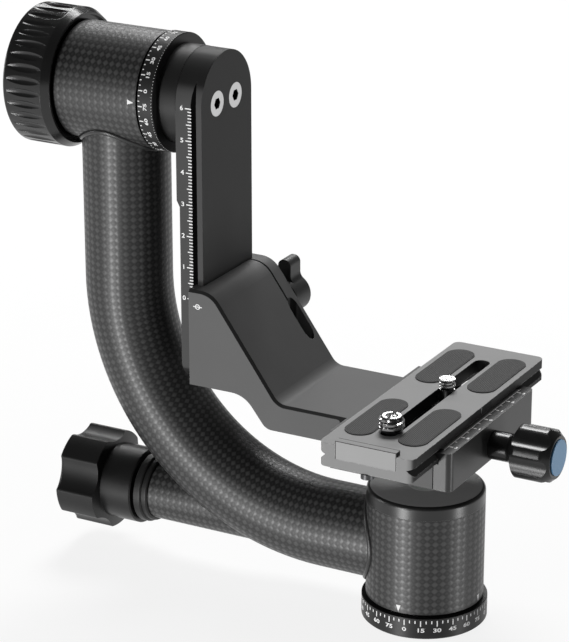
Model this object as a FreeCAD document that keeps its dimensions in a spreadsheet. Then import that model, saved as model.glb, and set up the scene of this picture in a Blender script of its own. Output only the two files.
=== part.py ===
"""Gimbal tripod head: a J-shaped carbon arm that pans on its base and carries a tilting rail and cradle.

Frame: millimetres, origin on the pan axis at the base's bottom face. +X runs along the tilt axis, from
the tilt knob to the clamp knob, +Y across the cradle and +Z up.
"""
import FreeCAD, Part
import math
import os
import re

import Sketcher

V = FreeCAD.Vector
POINTS = ["edge", "start", "end", "centre"]     # how a constraint numbers the points of a line or arc
START, END, CENTRE = map(POINTS.index, POINTS[1:])
ORIGIN = ACROSS_AXIS = -START                   # a sketch's own origin and axes are numbered downwards
UP_AXIS = -END
EAST, NORTH, UP = V(1, 0, 0), V(0, 1, 0), V(0, 0, 1)
ALONG_X = FreeCAD.Rotation(NORTH, UP, EAST)     # own Z axis along +X, own X across (+Y), own Y up (+Z)
ALONG_Y = FreeCAD.Rotation(UP, EAST, NORTH)     # own Z axis along +Y, own X up (+Z), own Y along +X

doc = FreeCAD.newDocument("gimbal_head")
sizes = doc.addObject("Spreadsheet::Sheet", "sizes")
pieces = []


# ---------------------------------------------------------------- driving sizes

# fits and gaps
running_fit = 0.05                  # between a turning or sliding piece and its seat, each side
face_gap = 0.1                      # between end faces that turn past each other
joint_gap = 1.1                     # the black shadow gap between a turning piece and its housing
slide_play = 0.07                   # rail and dovetail slides, square to a sloped flank

# base
base_radius = 24.25
base_height = 8.5
base_bevel = 0.6
tripod_thread_radius = 4.7625
tripod_thread_depth = 10.5
bush_radius = 7.0
bush_ledge = 2.0                    # thickness of the base under the spindle's foot
foot_radius = 9.0
spindle_flange_radius = 14.0
spindle_flange_height = 3.0
base_screw_circle = 11.5
base_screw_radius = 1.5
base_screw_head = 2.75
base_screw_length = 9.6
base_screw_socket = 0.9

# pan housing
pan_radius = 22.7
pan_gap = 1.0
pan_shell_height = 38.85
carbon_wall = 2.0
cap_height = 5.5
cap_rounding = 1.6
cap_spigot_depth = 1.8
cap_spigot_wall = 1.8
level_radius = 7.0
level_depth = 4.0
level_wall = 0.9
sleeve_wall = 3.0
shoulder_height = 1.5               # how far a sleeve's shoulder stands in behind a race

# bearings, the same in both housings
bearing_bore = 9.0
bearing_width = 5.0
inner_race_wall = 2.4
outer_race_wall = 3.2
shield_gap = 0.3
shield_thickness = 0.6
bearing_inset = 3.0                 # from a housing's end to its first bearing
pan_bearing_spread = 21.0           # free length between the pan bearings
drum_radius = 12.0
nut_height = 2.6
nut_radius = 11.5

# carbon arm
tube_radius = 17.1
tube_wall = 2.2
tube_axis_height = 28.6
bend_radius = 88.9
upright_offset = 130.4
tilt_axis_height = 193.2

# pan lock
lock_axis_drop = 1.3                # how far the pan lock's axis lies below the tube's
stub_radius = 11.8
stub_wall = 1.8
stub_reach = 117.0
inner_collar_radius = 13.0
inner_collar_width = 2.3
collar_rounding = 0.8
outer_collar_radius = 13.9
outer_collar_width = 3.1
collar_spigot = 12.0
lock_screw_radius = 4.0
lock_screw_length = 38.0
brake_rod_radius = 3.0
brake_rod_head = 7.0
brake_shoe_radius = 6.0
brake_shoe_length = 11.0
brake_travel = 1.0                  # one turn of a lock knob
brake_rest_gap = 0.05               # what is left between shoe and drum when locked
pan_hub_radius = 15.2
pan_hub_width = 13.6
pan_shoulder_width = 0.9
pan_lobe_radius = 19.85
pan_lobe_width = 17.4
pan_valley_radius = 17.0
pan_scallop_radius = 14.0
pan_lobe_rounding = 1.6
pan_knob_edge = 1.2

# tilt housing and knob
tilt_radius = 22.55
tilt_shell_length = 36.4
tilt_sleeve_wall = 3.55
tilt_left_bearing = 11.0            # from the housing's left end to the left bearing's middle
tilt_right_bearing = 4.8            # from the housing's right end to the right bearing's middle
tilt_disc_radius = 15.5
tilt_disc_width = 2.2
pressure_ring_radius = 16.9
pressure_ring_width = 3.0
tilt_thread_radius = 6.0
insert_radius = 9.5
insert_length = 11.0
tilt_knob_radius = 27.1
tilt_knob_length = 19.9
tilt_knob_recess_radius = 24.3
tilt_knob_recess_depth = 1.2
tilt_knob_rim_radius = 25.2
tilt_knob_rounding = 3.0
tilt_knob_edge = 1.0
tilt_cap_radius = 14.0
tilt_cap_height = 1.6
flute_depth = 0.8
flute_radius = 2.2
flute_length = 15.0
flute_start = 1.8                   # smooth rim outside the flutes
flute_phase = 1.7                   # degrees

# tilt dial, shaft and rail
dial_radius = 22.95
dial_width = 6.3
flange_radius = 19.0
flange_width = 7.7
rail_thickness = 11.2
rail_width = 37.8
rail_corner = 8.0
rail_lip = 2.3
rail_groove_width = 2.3
rail_groove_depth = 3.0
rail_relief = 1.3
rail_relief_drop = 38.6
rail_relief_run = 2.4
rail_screw_spacing = 13.7
rail_screw_radius = 3.0
rail_screw_head = 4.9
rail_screw_length = 16.0
rail_screw_socket = 2.3
socket_depth = 2.2

# cradle bracket, measured from the rail's front face and from the clamp's top
swing_room = 31.15                  # clear height between the pan cap and the clamp's top
bracket_width = 49.0
bracket_height = 39.6
bracket_lip = 3.3
bracket_heel = 1.2                  # the heel's underside, above the clamp's top
heel_length = 20.5
belly_length = 29.9
belly_drop = 10.9
nose_length = 6.7
slope_foot = 35.0
nose_rounding = 9.7
foot_rounding = 6.0
heel_rounding = 11.0
belly_rounding = 5.0
bracket_bevel = 1.0
cradle_reach = 63.9                 # from the rail's front face to the clamp's left face
corner_blend = 4.0
slit_offset = 17.0
slit_width = 1.0
slit_length = 16.4
relief_length = 10.8
relief_width = 6.0
relief_shift = 1.0                  # how far the relief reaches past the slit, towards the middle

# quick-release clamp
clamp_length = 74.0
clamp_height = 15.0
clamp_floor_drop = 4.65
fixed_jaw_width = 6.2
moving_jaw_width = 5.1
base_setback = 2.2                  # from the plate's edge back to the fixed base's right face
jaw_gap = 0.3
jaw_rounding = 2.5
clamp_axis_drop = 9.5
clamp_screw_radius = 3.0
clamp_screw_depth = 20.0
guide_pin_radius = 2.0
guide_pin_spacing = 50.0
guide_pin_depth = 12.0
guide_pin_cover = 1.6

# clamp knob
clamp_knob_neck = 5.5
clamp_knob_waist = 8.2
clamp_knob_blend = 2.0
clamp_knob_start = 11.4
clamp_knob_radius = 10.8
clamp_knob_length = 26.15
clamp_knob_taper = 3.0
clamp_knob_end = 8.2
clamp_flute_radius = 7.0
clamp_flute_depth = 1.9
clamp_flute_phase = 9.0             # degrees
clamp_cap_radius = 6.9
clamp_cap_height = 1.4
clamp_cap_proud = 0.5

# height lock
height_screw_reach = 9.5
height_screw_rise = 22.2
height_screw_radius = 2.5
height_screw_depth = 19.0
wing_hub_radius = 7.5
wing_hub_width = 11.0
wing_span = 30.8
wing_thickness = 5.6
wing_width = 8.0
wing_blend = 3.5
wing_rounding = 2.6

# camera plate
plate_width = 38.0
plate_length = 115.6
plate_thickness = 9.17
plate_rise = 4.57                   # the deck above the clamp's top
plate_corner = 2.75
deck_edge = 3.57
groove_depth = 2.7
groove_apex = 4.37
flange_top = 6.97
flange_bevel = 0.7
slot_width = 6.5
slot_front = 42.0
slot_back = 44.0
channel_width = 13.4
channel_depth = 4.0
channel_overrun = 4.0
pad_width = 11.4
pad_offset = 10.9
front_pad_start = 46.5
front_pad_end = 8.3
back_pad_start = 12.0
back_pad_end = 50.0
pad_recess = 0.8
pad_proud = 0.35
stop_width = 24.6
stop_depth = 3.1
stop_seat = 5.5
stop_rise = 1.6
stop_screw_offset = 56.0
stop_screw_head = 2.5
stop_screw_drop = 1.9
stop_screw_radius = 1.5
stop_screw_depth = 3.3

# camera screws
large_thread_radius = 4.7625
large_thread_top = 6.4
large_neck_radius = 3.15
large_screw_place = 37.0
large_screw_bore = 2.4
small_thread_radius = 3.175
small_thread_top = 5.9
small_neck_radius = 3.0
small_screw_place = 10.0
small_screw_bore = 1.2
thread_seat_gap = 0.3
screw_head_radius = 6.4
screw_head_height = 2.3
screw_slot_width = 1.4
screw_slot_depth = 1.2
washer_height = 0.75

driving = [name for name, value in globals().items() if isinstance(value, float)]
for row, name in enumerate(driving, 1):
    sizes.set(f"A{row}", name)
    sizes.set(f"B{row}", str(globals()[name]))
    sizes.setAlias(f"B{row}", name)
doc.recompute()

# places worked out from the sizes, written as formulas of the sheet
PAN_FLOOR = "(base_height + pan_gap)"
PAN_TOP = f"({PAN_FLOOR} + pan_shell_height)"
SLEEVE_BORE = "(pan_radius - carbon_wall - sleeve_wall)"
LOWER_BEARING = f"({PAN_FLOOR} + bearing_inset)"
UPPER_BEARING = f"({LOWER_BEARING} + bearing_width + pan_bearing_spread)"
BEND_START = "(upright_offset - bend_radius)"
LOCK_AXIS = "(tube_axis_height - lock_axis_drop)"
COLLAR_END = "(stub_reach + inner_collar_width + outer_collar_width)"
PAN_KNOB_INNER = f"({COLLAR_END} + joint_gap)"
PAN_KNOB_LENGTH = "(pan_hub_width + pan_shoulder_width + pan_lobe_width)"
DRUM_GAP = "(brake_travel + brake_rest_gap)"
SHELL_LEFT = "(-upright_offset - tilt_shell_length / 2)"
SHELL_RIGHT = "(-upright_offset + tilt_shell_length / 2)"
TILT_BORE = "(tilt_radius - carbon_wall - tilt_sleeve_wall)"
TILT_LEFT_RACE = f"({SHELL_LEFT} + tilt_left_bearing - bearing_width / 2)"
TILT_DISC = f"({TILT_LEFT_RACE} - face_gap - tilt_disc_width)"
PRESSURE_RING = f"({TILT_DISC} - {DRUM_GAP} - pressure_ring_width)"
KNOB_RIGHT = f"({SHELL_LEFT} - face_gap)"
DIAL_LEFT = f"({SHELL_RIGHT} + joint_gap)"
FLANGE_LEFT = f"({DIAL_LEFT} + dial_width)"
RAIL_BACK = f"({FLANGE_LEFT} + flange_width)"
RAIL_FRONT = f"({RAIL_BACK} + rail_thickness)"
CLAMP_TOP = f"({PAN_TOP} + cap_height + swing_room)"
RAIL_DROP = f"(tilt_axis_height - {CLAMP_TOP})"
PLATE_EDGE = "(cradle_reach + fixed_jaw_width)"             # the plate's left edge, from the rail's face
PLATE_MIDDLE = f"({PLATE_EDGE} + plate_width / 2)"
CLAMP_RIGHT = f"({PLATE_EDGE} + plate_width - base_setback)"
JAW_LEFT = f"({CLAMP_RIGHT} + jaw_gap)"
JAW_RIGHT = f"({PLATE_EDGE} + plate_width + moving_jaw_width)"
PLATE_X = f"({RAIL_FRONT} + {PLATE_MIDDLE})"
DECK_Z = f"({CLAMP_TOP} + plate_rise)"
HEAD_TOP = "(channel_depth - plate_thickness - running_fit - washer_height - running_fit)"


# ---------------------------------------------------------------- drawing helpers

def bound(text):
    """Write each size's name in a formula as a reference to its cell."""
    def refer(word):
        return "sizes." + word.group() if word.group() in driving else word.group()
    return re.sub(r"[a-z][a-z_]*", refer, text)


def number(text):
    """Work out a formula with the sheet's present sizes."""
    result = sizes.evalExpression(bound(text))
    return float(getattr(result, "Value", result))


def body_at(node, x="0", y="0", z="0", turn=FreeCAD.Rotation()):
    """Start a sub-part's body with its own origin at (x, y, z)."""
    body = doc.addObject("PartDesign::Body", node)
    body.Label = node
    body.Placement = FreeCAD.Placement(V(0, 0, 0), turn)
    body.setExpression("Placement.Base.x", bound(x))
    body.setExpression("Placement.Base.y", bound(y))
    body.setExpression("Placement.Base.z", bound(z))
    pieces.append(body)
    return body


def origin_part(body, role):
    """Find one of a body's origin planes or axes."""
    return next(item for item in body.Origin.OriginFeatures if item.Role == role)


def sketch_on(body, role, lift="0"):
    """Put an empty sketch on one of the body's origin planes, lifted along the plane's normal."""
    sketch = body.newObject("Sketcher::SketchObject", body.Name + "_sketch")
    sketch.AttachmentSupport = [(origin_part(body, role), "")]
    sketch.MapMode = "FlatFace"
    sketch.setExpression("AttachmentOffset.Base.z", bound(lift))
    return sketch


def pin(sketch, item, end, across, up):
    """Hold one point of a sketch at (across, up), both formulas."""
    for kind, text, axis in (("DistanceX", across, UP_AXIS), ("DistanceY", up, ACROSS_AXIS)):
        if text == "0":
            sketch.addConstraint(Sketcher.Constraint("PointOnObject", item, end, axis))
            continue
        index = sketch.addConstraint(Sketcher.Constraint(kind, ORIGIN, START, item, end, number(text)))
        sketch.setExpression("Constraints[%d]" % index, bound(text))


def hold_radius(sketch, item, radius):
    """Tie a circle's or arc's radius to a formula."""
    index = sketch.addConstraint(Sketcher.Constraint("Radius", item, number(radius)))
    sketch.setExpression("Constraints[%d]" % index, bound(radius))


def line(sketch, start, end, construction=False):
    """Draw one line between two (across, up) pairs of formulas; its ends are held by the caller."""
    ends = [V(number(across), number(up), 0) for across, up in (start, end)]
    return sketch.addGeometry(Part.LineSegment(ends[0], ends[1]), construction)


def polygon(sketch, corners):
    """Draw a closed outline of straight lines through (across, up) corners."""
    count = len(corners)
    lines = [line(sketch, corners[i], corners[(i + 1) % count]) for i in range(count)]
    for i in range(count):
        sketch.addConstraint(Sketcher.Constraint("Coincident", lines[i], END, lines[(i + 1) % count], START))
    for item, (across, up) in zip(lines, corners):
        pin(sketch, item, START, across, up)


def circle(sketch, radius, across="0", up="0"):
    """Draw a circle about (across, up)."""
    middle = V(number(across), number(up), 0)
    item = sketch.addGeometry(Part.Circle(middle, V(0, 0, 1), number(radius)), False)
    pin(sketch, item, CENTRE, across, up)
    hold_radius(sketch, item, radius)


def arc(sketch, radius, centre, start_angle, end_angle):
    """Draw an arc; its ends are joined to lines by the caller."""
    middle = V(number(centre[0]), number(centre[1]), 0)
    whole = Part.Circle(middle, V(0, 0, 1), number(radius))
    item = sketch.addGeometry(Part.ArcOfCircle(whole, math.radians(start_angle), math.radians(end_angle)),
                              False)
    hold_radius(sketch, item, radius)
    return item


def join(sketch, first, first_end, second, second_end):
    """Make two ends meet."""
    sketch.addConstraint(Sketcher.Constraint("Coincident", first, first_end, second, second_end))


def stadium(sketch, half_width, across, low, high):
    """Draw a slot outline that runs up and down, with round ends, from low to high."""
    bottom, top = f"({low}) + {half_width}", f"({high}) - {half_width}"
    top_end = arc(sketch, half_width, (across, top), 0, 180)
    bottom_end = arc(sketch, half_width, (across, bottom), 180, 360)
    for end, level in ((top_end, top), (bottom_end, bottom)):
        pin(sketch, end, CENTRE, across, level)
        for tip in (START, END):
            sketch.addConstraint(Sketcher.Constraint("Horizontal", end, tip, end, CENTRE))
    left, right = f"({across}) - {half_width}", f"({across}) + {half_width}"
    right_side = line(sketch, (right, bottom), (right, top))
    left_side = line(sketch, (left, top), (left, bottom))
    join(sketch, top_end, START, right_side, END)
    join(sketch, top_end, END, left_side, START)
    join(sketch, bottom_end, START, left_side, END)
    join(sketch, bottom_end, END, right_side, START)


def revolve(body, kind, sketch, axis="V_Axis"):
    """Turn a sketch right round one of its own axes, adding or cutting."""
    feature = body.newObject("PartDesign::" + kind, body.Name + "_turned")
    feature.Profile = sketch
    feature.ReferenceAxis = (sketch, [axis])
    feature.Angle = 360
    return feature


def turned(body, corners):
    """Turn an outline of (radius, height) corners round the body's own Z axis."""
    sketch = sketch_on(body, "XZ_Plane")
    polygon(sketch, corners)
    return revolve(body, "Revolution", sketch)


def ring(body, inner, outer, low, high):
    """Turn a plain ring."""
    return turned(body, [(inner, low), (outer, low), (outer, high), (inner, high)])


def turned_aside(body, kind, plane, corners):
    """Turn an outline about its own edge between the last corner and the first, adding or cutting."""
    sketch = sketch_on(body, plane)
    axis = line(sketch, corners[-1], corners[0], True)
    pin(sketch, axis, START, *corners[-1])
    pin(sketch, axis, END, *corners[0])
    polygon(sketch, corners)
    return revolve(body, kind, sketch, "Axis0")


def extrude(body, kind, sketch, length, both_ways=False, back=False):
    """Pad or pocket a sketch."""
    feature = body.newObject("PartDesign::" + kind, body.Name + "_" + kind.lower())
    feature.Profile = sketch
    feature.setExpression("Length", bound(length))
    feature.SideType = "Symmetric" if both_ways else "One side"
    feature.Reversed = back
    return feature


def bore(body, plane, radius, length, across="0", up="0", lift="0", back=False):
    """Cut a round hole from a plane; a pocket runs against the plane's normal unless it goes back."""
    sketch = sketch_on(body, plane, lift)
    circle(sketch, radius, across, up)
    return extrude(body, "Pocket", sketch, length, False, back)


def repeat_round(body, features, count):
    """Repeat features evenly round the body's own Z axis."""
    pattern = body.newObject("PartDesign::PolarPattern", body.Name + "_round")
    pattern.Originals = features
    pattern.Axis = (origin_part(body, "Z_Axis"), [""])
    pattern.Angle = 360
    pattern.Occurrences = count
    body.Tip = pattern
    return pattern


def mirror(body, features, plane):
    """Repeat features on the other side of one of the body's origin planes."""
    pattern = body.newObject("PartDesign::Mirrored", body.Name + "_mirrored")
    pattern.Originals = features
    pattern.MirrorPlane = (origin_part(body, plane), [""])
    body.Tip = pattern
    return pattern


def soften(body, kind, amount, chosen):
    """Round (Fillet) or bevel (Chamfer) the edges that the test picks."""
    doc.recompute()
    base = body.Tip
    edges = ["Edge%d" % (i + 1) for i, edge in enumerate(base.Shape.Edges) if chosen(edge)]
    feature = body.newObject("PartDesign::" + kind, body.Name + "_" + kind.lower())
    feature.Base = (base, edges)
    feature.setExpression("Radius" if kind == "Fillet" else "Size", bound(amount))
    return feature


def near(first, second):
    """Say whether two lengths agree."""
    return abs(first - second) < 0.001


def round_edge(radius, height):
    """Pick circles of this radius at this height on the body's own axis."""
    wanted, level = number(radius), number(height)

    def chosen(edge):
        curve = edge.Curve
        if curve.TypeId != "Part::GeomCircle":
            return False
        return near(curve.Radius, wanted) and near(curve.Center.z, level)
    return chosen


def edge_through(side, places):
    """Pick straight edges that run along one axis, through given places on the other two."""
    spots = [tuple(number(text) for text in place) for place in places]

    def chosen(edge):
        if edge.Curve.TypeId != "Part::GeomLine":
            return False
        first, last = edge.Vertexes[0].Point, edge.Vertexes[-1].Point
        others = [i for i in range(3) if i != side]
        if not all(near(first[i], last[i]) for i in others):
            return False
        return any(near(first[others[0]], spot[0]) and near(first[others[1]], spot[1]) for spot in spots)
    return chosen


X, Y, Z = 0, 1, 2


# ---------------------------------------------------------------- base

def make_base():
    """Base plate with its thread bush, spindle, screws, brake drum, inner races and nut."""
    plate = body_at("base_plate")
    turned(plate, [
        ("bush_radius", "0"), ("base_radius - base_bevel", "0"), ("base_radius", "base_bevel"),
        ("base_radius", "base_height"), ("foot_radius", "base_height"), ("foot_radius", "bush_ledge"),
        ("bush_radius", "bush_ledge"),
    ])
    hole = turned_aside(plate, "Groove", "XZ_Plane", [
        ("base_screw_circle", "0"), ("base_screw_circle + base_screw_head", "0"),
        ("base_screw_circle + base_screw_radius", "base_screw_head - base_screw_radius"),
        ("base_screw_circle + base_screw_radius", "base_height"), ("base_screw_circle", "base_height"),
    ])
    repeat_round(plate, [hole], 4)

    ring(body_at("tripod_thread_bush"), "tripod_thread_radius", "bush_radius", "0", "tripod_thread_depth")

    spindle = body_at("pan_spindle")
    flange_top = "base_height + spindle_flange_height"
    spindle_top = f"{UPPER_BEARING} + bearing_width + nut_height"
    turned(spindle, [
        ("bush_radius", "bush_ledge"), ("foot_radius", "bush_ledge"), ("foot_radius", "base_height"),
        ("spindle_flange_radius", "base_height"), ("spindle_flange_radius", flange_top),
        ("bearing_bore", flange_top), ("bearing_bore", spindle_top), ("0", spindle_top),
        ("0", "tripod_thread_depth"), ("bush_radius", "tripod_thread_depth"),
    ])
    thread = bore(spindle, "XY_Plane", "base_screw_radius", "spindle_flange_height", "base_screw_circle",
                  "0", "base_height", True)
    repeat_round(spindle, [thread], 4)

    screws = body_at("base_screws")
    shank_top = "base_screw_length"
    screw = turned_aside(screws, "Revolution", "XZ_Plane", [
        ("base_screw_circle", "face_gap"), ("base_screw_circle + base_screw_head - face_gap", "face_gap"),
        ("base_screw_circle + base_screw_radius", "base_screw_head - base_screw_radius"),
        ("base_screw_circle + base_screw_radius", shank_top), ("base_screw_circle", shank_top),
    ])
    socket = bore(screws, "XY_Plane", "base_screw_socket", "base_screw_radius", "base_screw_circle", "0", "0",
                  True)
    repeat_round(screws, [screw, socket], 4)

    drum_low = f"{LOWER_BEARING} + bearing_width"
    ring(body_at("brake_drum"), "bearing_bore", "drum_radius", drum_low, UPPER_BEARING)
    ring(body_at("lower_spacer"), "bearing_bore", "bearing_bore + inner_race_wall", flange_top, LOWER_BEARING)
    nut_low = f"{UPPER_BEARING} + bearing_width"
    nut = body_at("spindle_nut")
    ring(nut, "bearing_bore", "nut_radius", nut_low, f"{nut_low} + nut_height")
    soften(nut, "Chamfer", "base_bevel", round_edge("nut_radius", f"{nut_low} + nut_height"))


def make_races(prefix, turn, at, first, second, seat):
    """Inner and outer races of a pair of bearings; first and second are their left or lower faces."""
    inner = body_at(prefix + "_inner_races", *at, turn)
    for low in (first, second):
        ring(inner, "bearing_bore", "bearing_bore + inner_race_wall", low, f"{low} + bearing_width")
    outer = body_at(prefix + "_outer_races", *at, turn)
    shield = "bearing_bore + inner_race_wall + shield_gap"
    wall = f"{seat} - outer_race_wall"
    for low in (first, second):
        turned(outer, [
            (shield, low), (seat, low), (seat, f"{low} + bearing_width"), (shield, f"{low} + bearing_width"),
            (shield, f"{low} + bearing_width - shield_thickness"),
            (wall, f"{low} + bearing_width - shield_thickness"),
            (wall, f"{low} + shield_thickness"), (shield, f"{low} + shield_thickness"),
        ])


# ---------------------------------------------------------------- pan housing

def make_pan_housing():
    """Carbon shell, its bearing sleeve, the cap and the bubble level."""
    shell = body_at("pan_shell")
    ring(shell, "pan_radius - carbon_wall", "pan_radius", PAN_FLOOR, PAN_TOP)
    bore(shell, "YZ_Plane", "tube_radius - tube_wall", "pan_radius + carbon_wall", "0", "tube_axis_height")

    sleeve = body_at("pan_sleeve")
    seat = SLEEVE_BORE
    shoulder = f"{seat} - shoulder_height"
    turned(sleeve, [
        (seat, PAN_FLOOR), ("pan_radius - carbon_wall", PAN_FLOOR), ("pan_radius - carbon_wall", PAN_TOP),
        (seat, PAN_TOP), (seat, UPPER_BEARING), (shoulder, UPPER_BEARING),
        (shoulder, f"{LOWER_BEARING} + bearing_width"), (seat, f"{LOWER_BEARING} + bearing_width"),
    ])
    bore(sleeve, "YZ_Plane", "brake_shoe_radius + running_fit", "pan_radius", "0", LOCK_AXIS)
    make_races("pan", FreeCAD.Rotation(), ("0", "0", "0"), LOWER_BEARING, UPPER_BEARING, seat)

    cap = body_at("pan_cap", z=PAN_TOP)
    level_floor = "cap_height - level_depth"
    turned(cap, [
        ("0", "0"), (f"{seat} - cap_spigot_wall", "0"), (f"{seat} - cap_spigot_wall", "-cap_spigot_depth"),
        (seat, "-cap_spigot_depth"), (seat, "0"), ("pan_radius", "0"), ("pan_radius", "cap_height"),
        ("level_radius", "cap_height"), ("level_radius", level_floor), ("0", level_floor),
    ])
    soften(cap, "Fillet", "cap_rounding", round_edge("pan_radius", "cap_height"))

    cup = body_at("level_cup", z=PAN_TOP)
    vial_radius = "level_radius - level_wall"
    vial_floor = f"{level_floor} + level_wall"
    turned(cup, [
        ("0", level_floor), ("level_radius", level_floor), ("level_radius", "cap_height"),
        (vial_radius, "cap_height"), (vial_radius, vial_floor), ("0", vial_floor),
    ])
    vial = body_at("level_vial", z=PAN_TOP)
    turned(vial, [
        ("0", vial_floor), (vial_radius, vial_floor), (vial_radius, "cap_height - level_wall / 2"),
        ("0", "cap_height - level_wall / 3"),
    ])


# ---------------------------------------------------------------- carbon arm

def arm_path(body):
    """Draw the arm's centre line: out along -X, a quarter bend, then up."""
    path = sketch_on(body, "XZ_Plane")
    corner_low = (f"-{BEND_START}", "tube_axis_height")
    corner_high = ("-upright_offset", "tube_axis_height + bend_radius")
    level = line(path, ("0", "tube_axis_height"), corner_low)
    upright = line(path, corner_high, ("-upright_offset", "tilt_axis_height"))
    pin(path, level, START, "0", "tube_axis_height")
    pin(path, level, END, *corner_low)
    pin(path, upright, START, *corner_high)
    pin(path, upright, END, "-upright_offset", "tilt_axis_height")
    centre = (f"-{BEND_START}", "tube_axis_height + bend_radius")
    bend = arc(path, "bend_radius", centre, 180, 270)
    join(path, bend, END, level, END)
    join(path, bend, START, upright, START)
    return path


def arm_pipe(body, kind, radius):
    """Sweep a circle along the arm's centre line, adding or cutting."""
    path = arm_path(body)
    section = sketch_on(body, "YZ_Plane")
    circle(section, radius, "0", "tube_axis_height")
    pipe = body.newObject("PartDesign::" + kind, body.Name + "_pipe")
    pipe.Profile = section
    pipe.Spine = (path, ["Edge1", "Edge2", "Edge3"])
    return pipe


def make_arm():
    """J-shaped tube between the housings, the stub for the pan lock and the stub's collar."""
    stub_bore = "stub_radius - stub_wall"
    stub_end = f"({BEND_START} + tube_radius)"
    tube = body_at("arm_tube")
    arm_pipe(tube, "AdditivePipe", "tube_radius")
    arm_pipe(tube, "SubtractivePipe", "tube_radius - tube_wall")
    housing = sketch_on(tube, "XY_Plane")
    circle(housing, "pan_radius")
    extrude(tube, "Pocket", housing, "4 * tube_axis_height", True)
    head = sketch_on(tube, "YZ_Plane")
    circle(head, "tilt_radius", "0", "tilt_axis_height")
    extrude(tube, "Pocket", head, "4 * upright_offset", True)
    bore(tube, "YZ_Plane", stub_bore, f"stub_reach - {stub_end}", "0", LOCK_AXIS, f"-{stub_end}")

    stub = body_at("lock_stub")
    outline = sketch_on(stub, "YZ_Plane", f"-{stub_end}")
    circle(outline, "stub_radius", "0", LOCK_AXIS)
    extrude(stub, "Pad", outline, f"stub_reach - {stub_end}", False, True)
    bore(stub, "YZ_Plane", stub_bore, f"stub_reach - {stub_end}", "0", LOCK_AXIS, f"-{stub_end}")
    arm_pipe(stub, "SubtractivePipe", "tube_radius")

    collar = body_at("stub_collar", f"-{COLLAR_END}", "0", LOCK_AXIS, ALONG_X)
    inner_step = "outer_collar_width"
    seat = "outer_collar_width + inner_collar_width"
    hole = "lock_screw_radius + running_fit"
    turned(collar, [
        (hole, "0"), ("outer_collar_radius", "0"), ("outer_collar_radius", inner_step),
        ("inner_collar_radius", inner_step), ("inner_collar_radius", seat), (stub_bore, seat),
        (stub_bore, f"{seat} + collar_spigot"), (hole, f"{seat} + collar_spigot"),
    ])
    for radius, height in (("outer_collar_radius", inner_step), ("inner_collar_radius", seat)):
        soften(collar, "Fillet", "collar_rounding", round_edge(radius, height))


# ---------------------------------------------------------------- pan lock

def make_pan_lock():
    """Five-lobed knob with its screw, and the rod and shoe that it pushes onto the drum."""
    knob_face = f"(-{PAN_KNOB_INNER} - {PAN_KNOB_LENGTH})"
    knob = body_at("pan_knob", knob_face, "0", LOCK_AXIS, ALONG_X)
    shoulder = "pan_lobe_width + pan_shoulder_width"
    turned(knob, [
        ("0", "0"), ("pan_lobe_radius", "0"), ("pan_lobe_radius", "pan_lobe_width"),
        ("pan_hub_radius", shoulder), ("pan_hub_radius", PAN_KNOB_LENGTH),
        ("lock_screw_radius", PAN_KNOB_LENGTH), ("lock_screw_radius", "pan_lobe_width / 2"),
        ("0", "pan_lobe_width / 2"),
    ])
    soften(knob, "Fillet", "pan_knob_edge", round_edge("pan_lobe_radius", "0"))
    scallop = bore(knob, "XY_Plane", "pan_scallop_radius", shoulder, "0",
                   "pan_valley_radius + pan_scallop_radius", "0", True)
    repeat_round(knob, [scallop], 5)
    soften(knob, "Fillet", "pan_lobe_rounding", lobe_edge)
    soften(knob, "Chamfer", "level_wall / 2", round_edge("pan_hub_radius", PAN_KNOB_LENGTH))

    screw = body_at("pan_lock_screw", knob_face, "0", LOCK_AXIS, ALONG_X)
    ring_low = "pan_lobe_width / 2"
    ring_high = f"{ring_low} + lock_screw_length"
    turned(screw, [
        ("0", ring_low), ("lock_screw_radius", ring_low), ("lock_screw_radius", f"{ring_high} - base_bevel"),
        ("lock_screw_radius - base_bevel", ring_high), ("0", ring_high),
    ])

    screw_tip = f"({knob_face} + {ring_high})"
    rod_start = f"({screw_tip} + running_fit)"
    shoe_face = f"(drum_radius + {DRUM_GAP})"
    rod = body_at("brake_rod", rod_start, "0", LOCK_AXIS, ALONG_X)
    rod_length = f"(-{shoe_face} - brake_shoe_length - {rod_start})"
    turned(rod, [
        ("0", "0"), ("lock_screw_radius", "0"), ("lock_screw_radius", "brake_rod_head"),
        ("brake_rod_radius", "brake_rod_head"), ("brake_rod_radius", rod_length), ("0", rod_length),
    ])
    shoe = body_at("brake_shoe")
    face = sketch_on(shoe, "YZ_Plane", f"-{shoe_face} - brake_shoe_length")
    circle(face, "brake_shoe_radius", "0", LOCK_AXIS)
    extrude(shoe, "Pad", face, "brake_shoe_length + brake_shoe_radius")
    drum = sketch_on(shoe, "XY_Plane")
    circle(drum, shoe_face)
    extrude(shoe, "Pocket", drum, "4 * tube_axis_height", True)


def lobe_edge(edge):
    """Pick the edges along the lobes, where crest and scallop meet."""
    first, last = edge.Vertexes[0].Point, edge.Vertexes[-1].Point
    crest = number("pan_lobe_radius")
    along = near(first.x, last.x) and near(first.y, last.y) and not near(first.z, last.z)
    return along and near(V(first.x, first.y, 0).Length, crest)


# ---------------------------------------------------------------- tilt housing and lock

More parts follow.
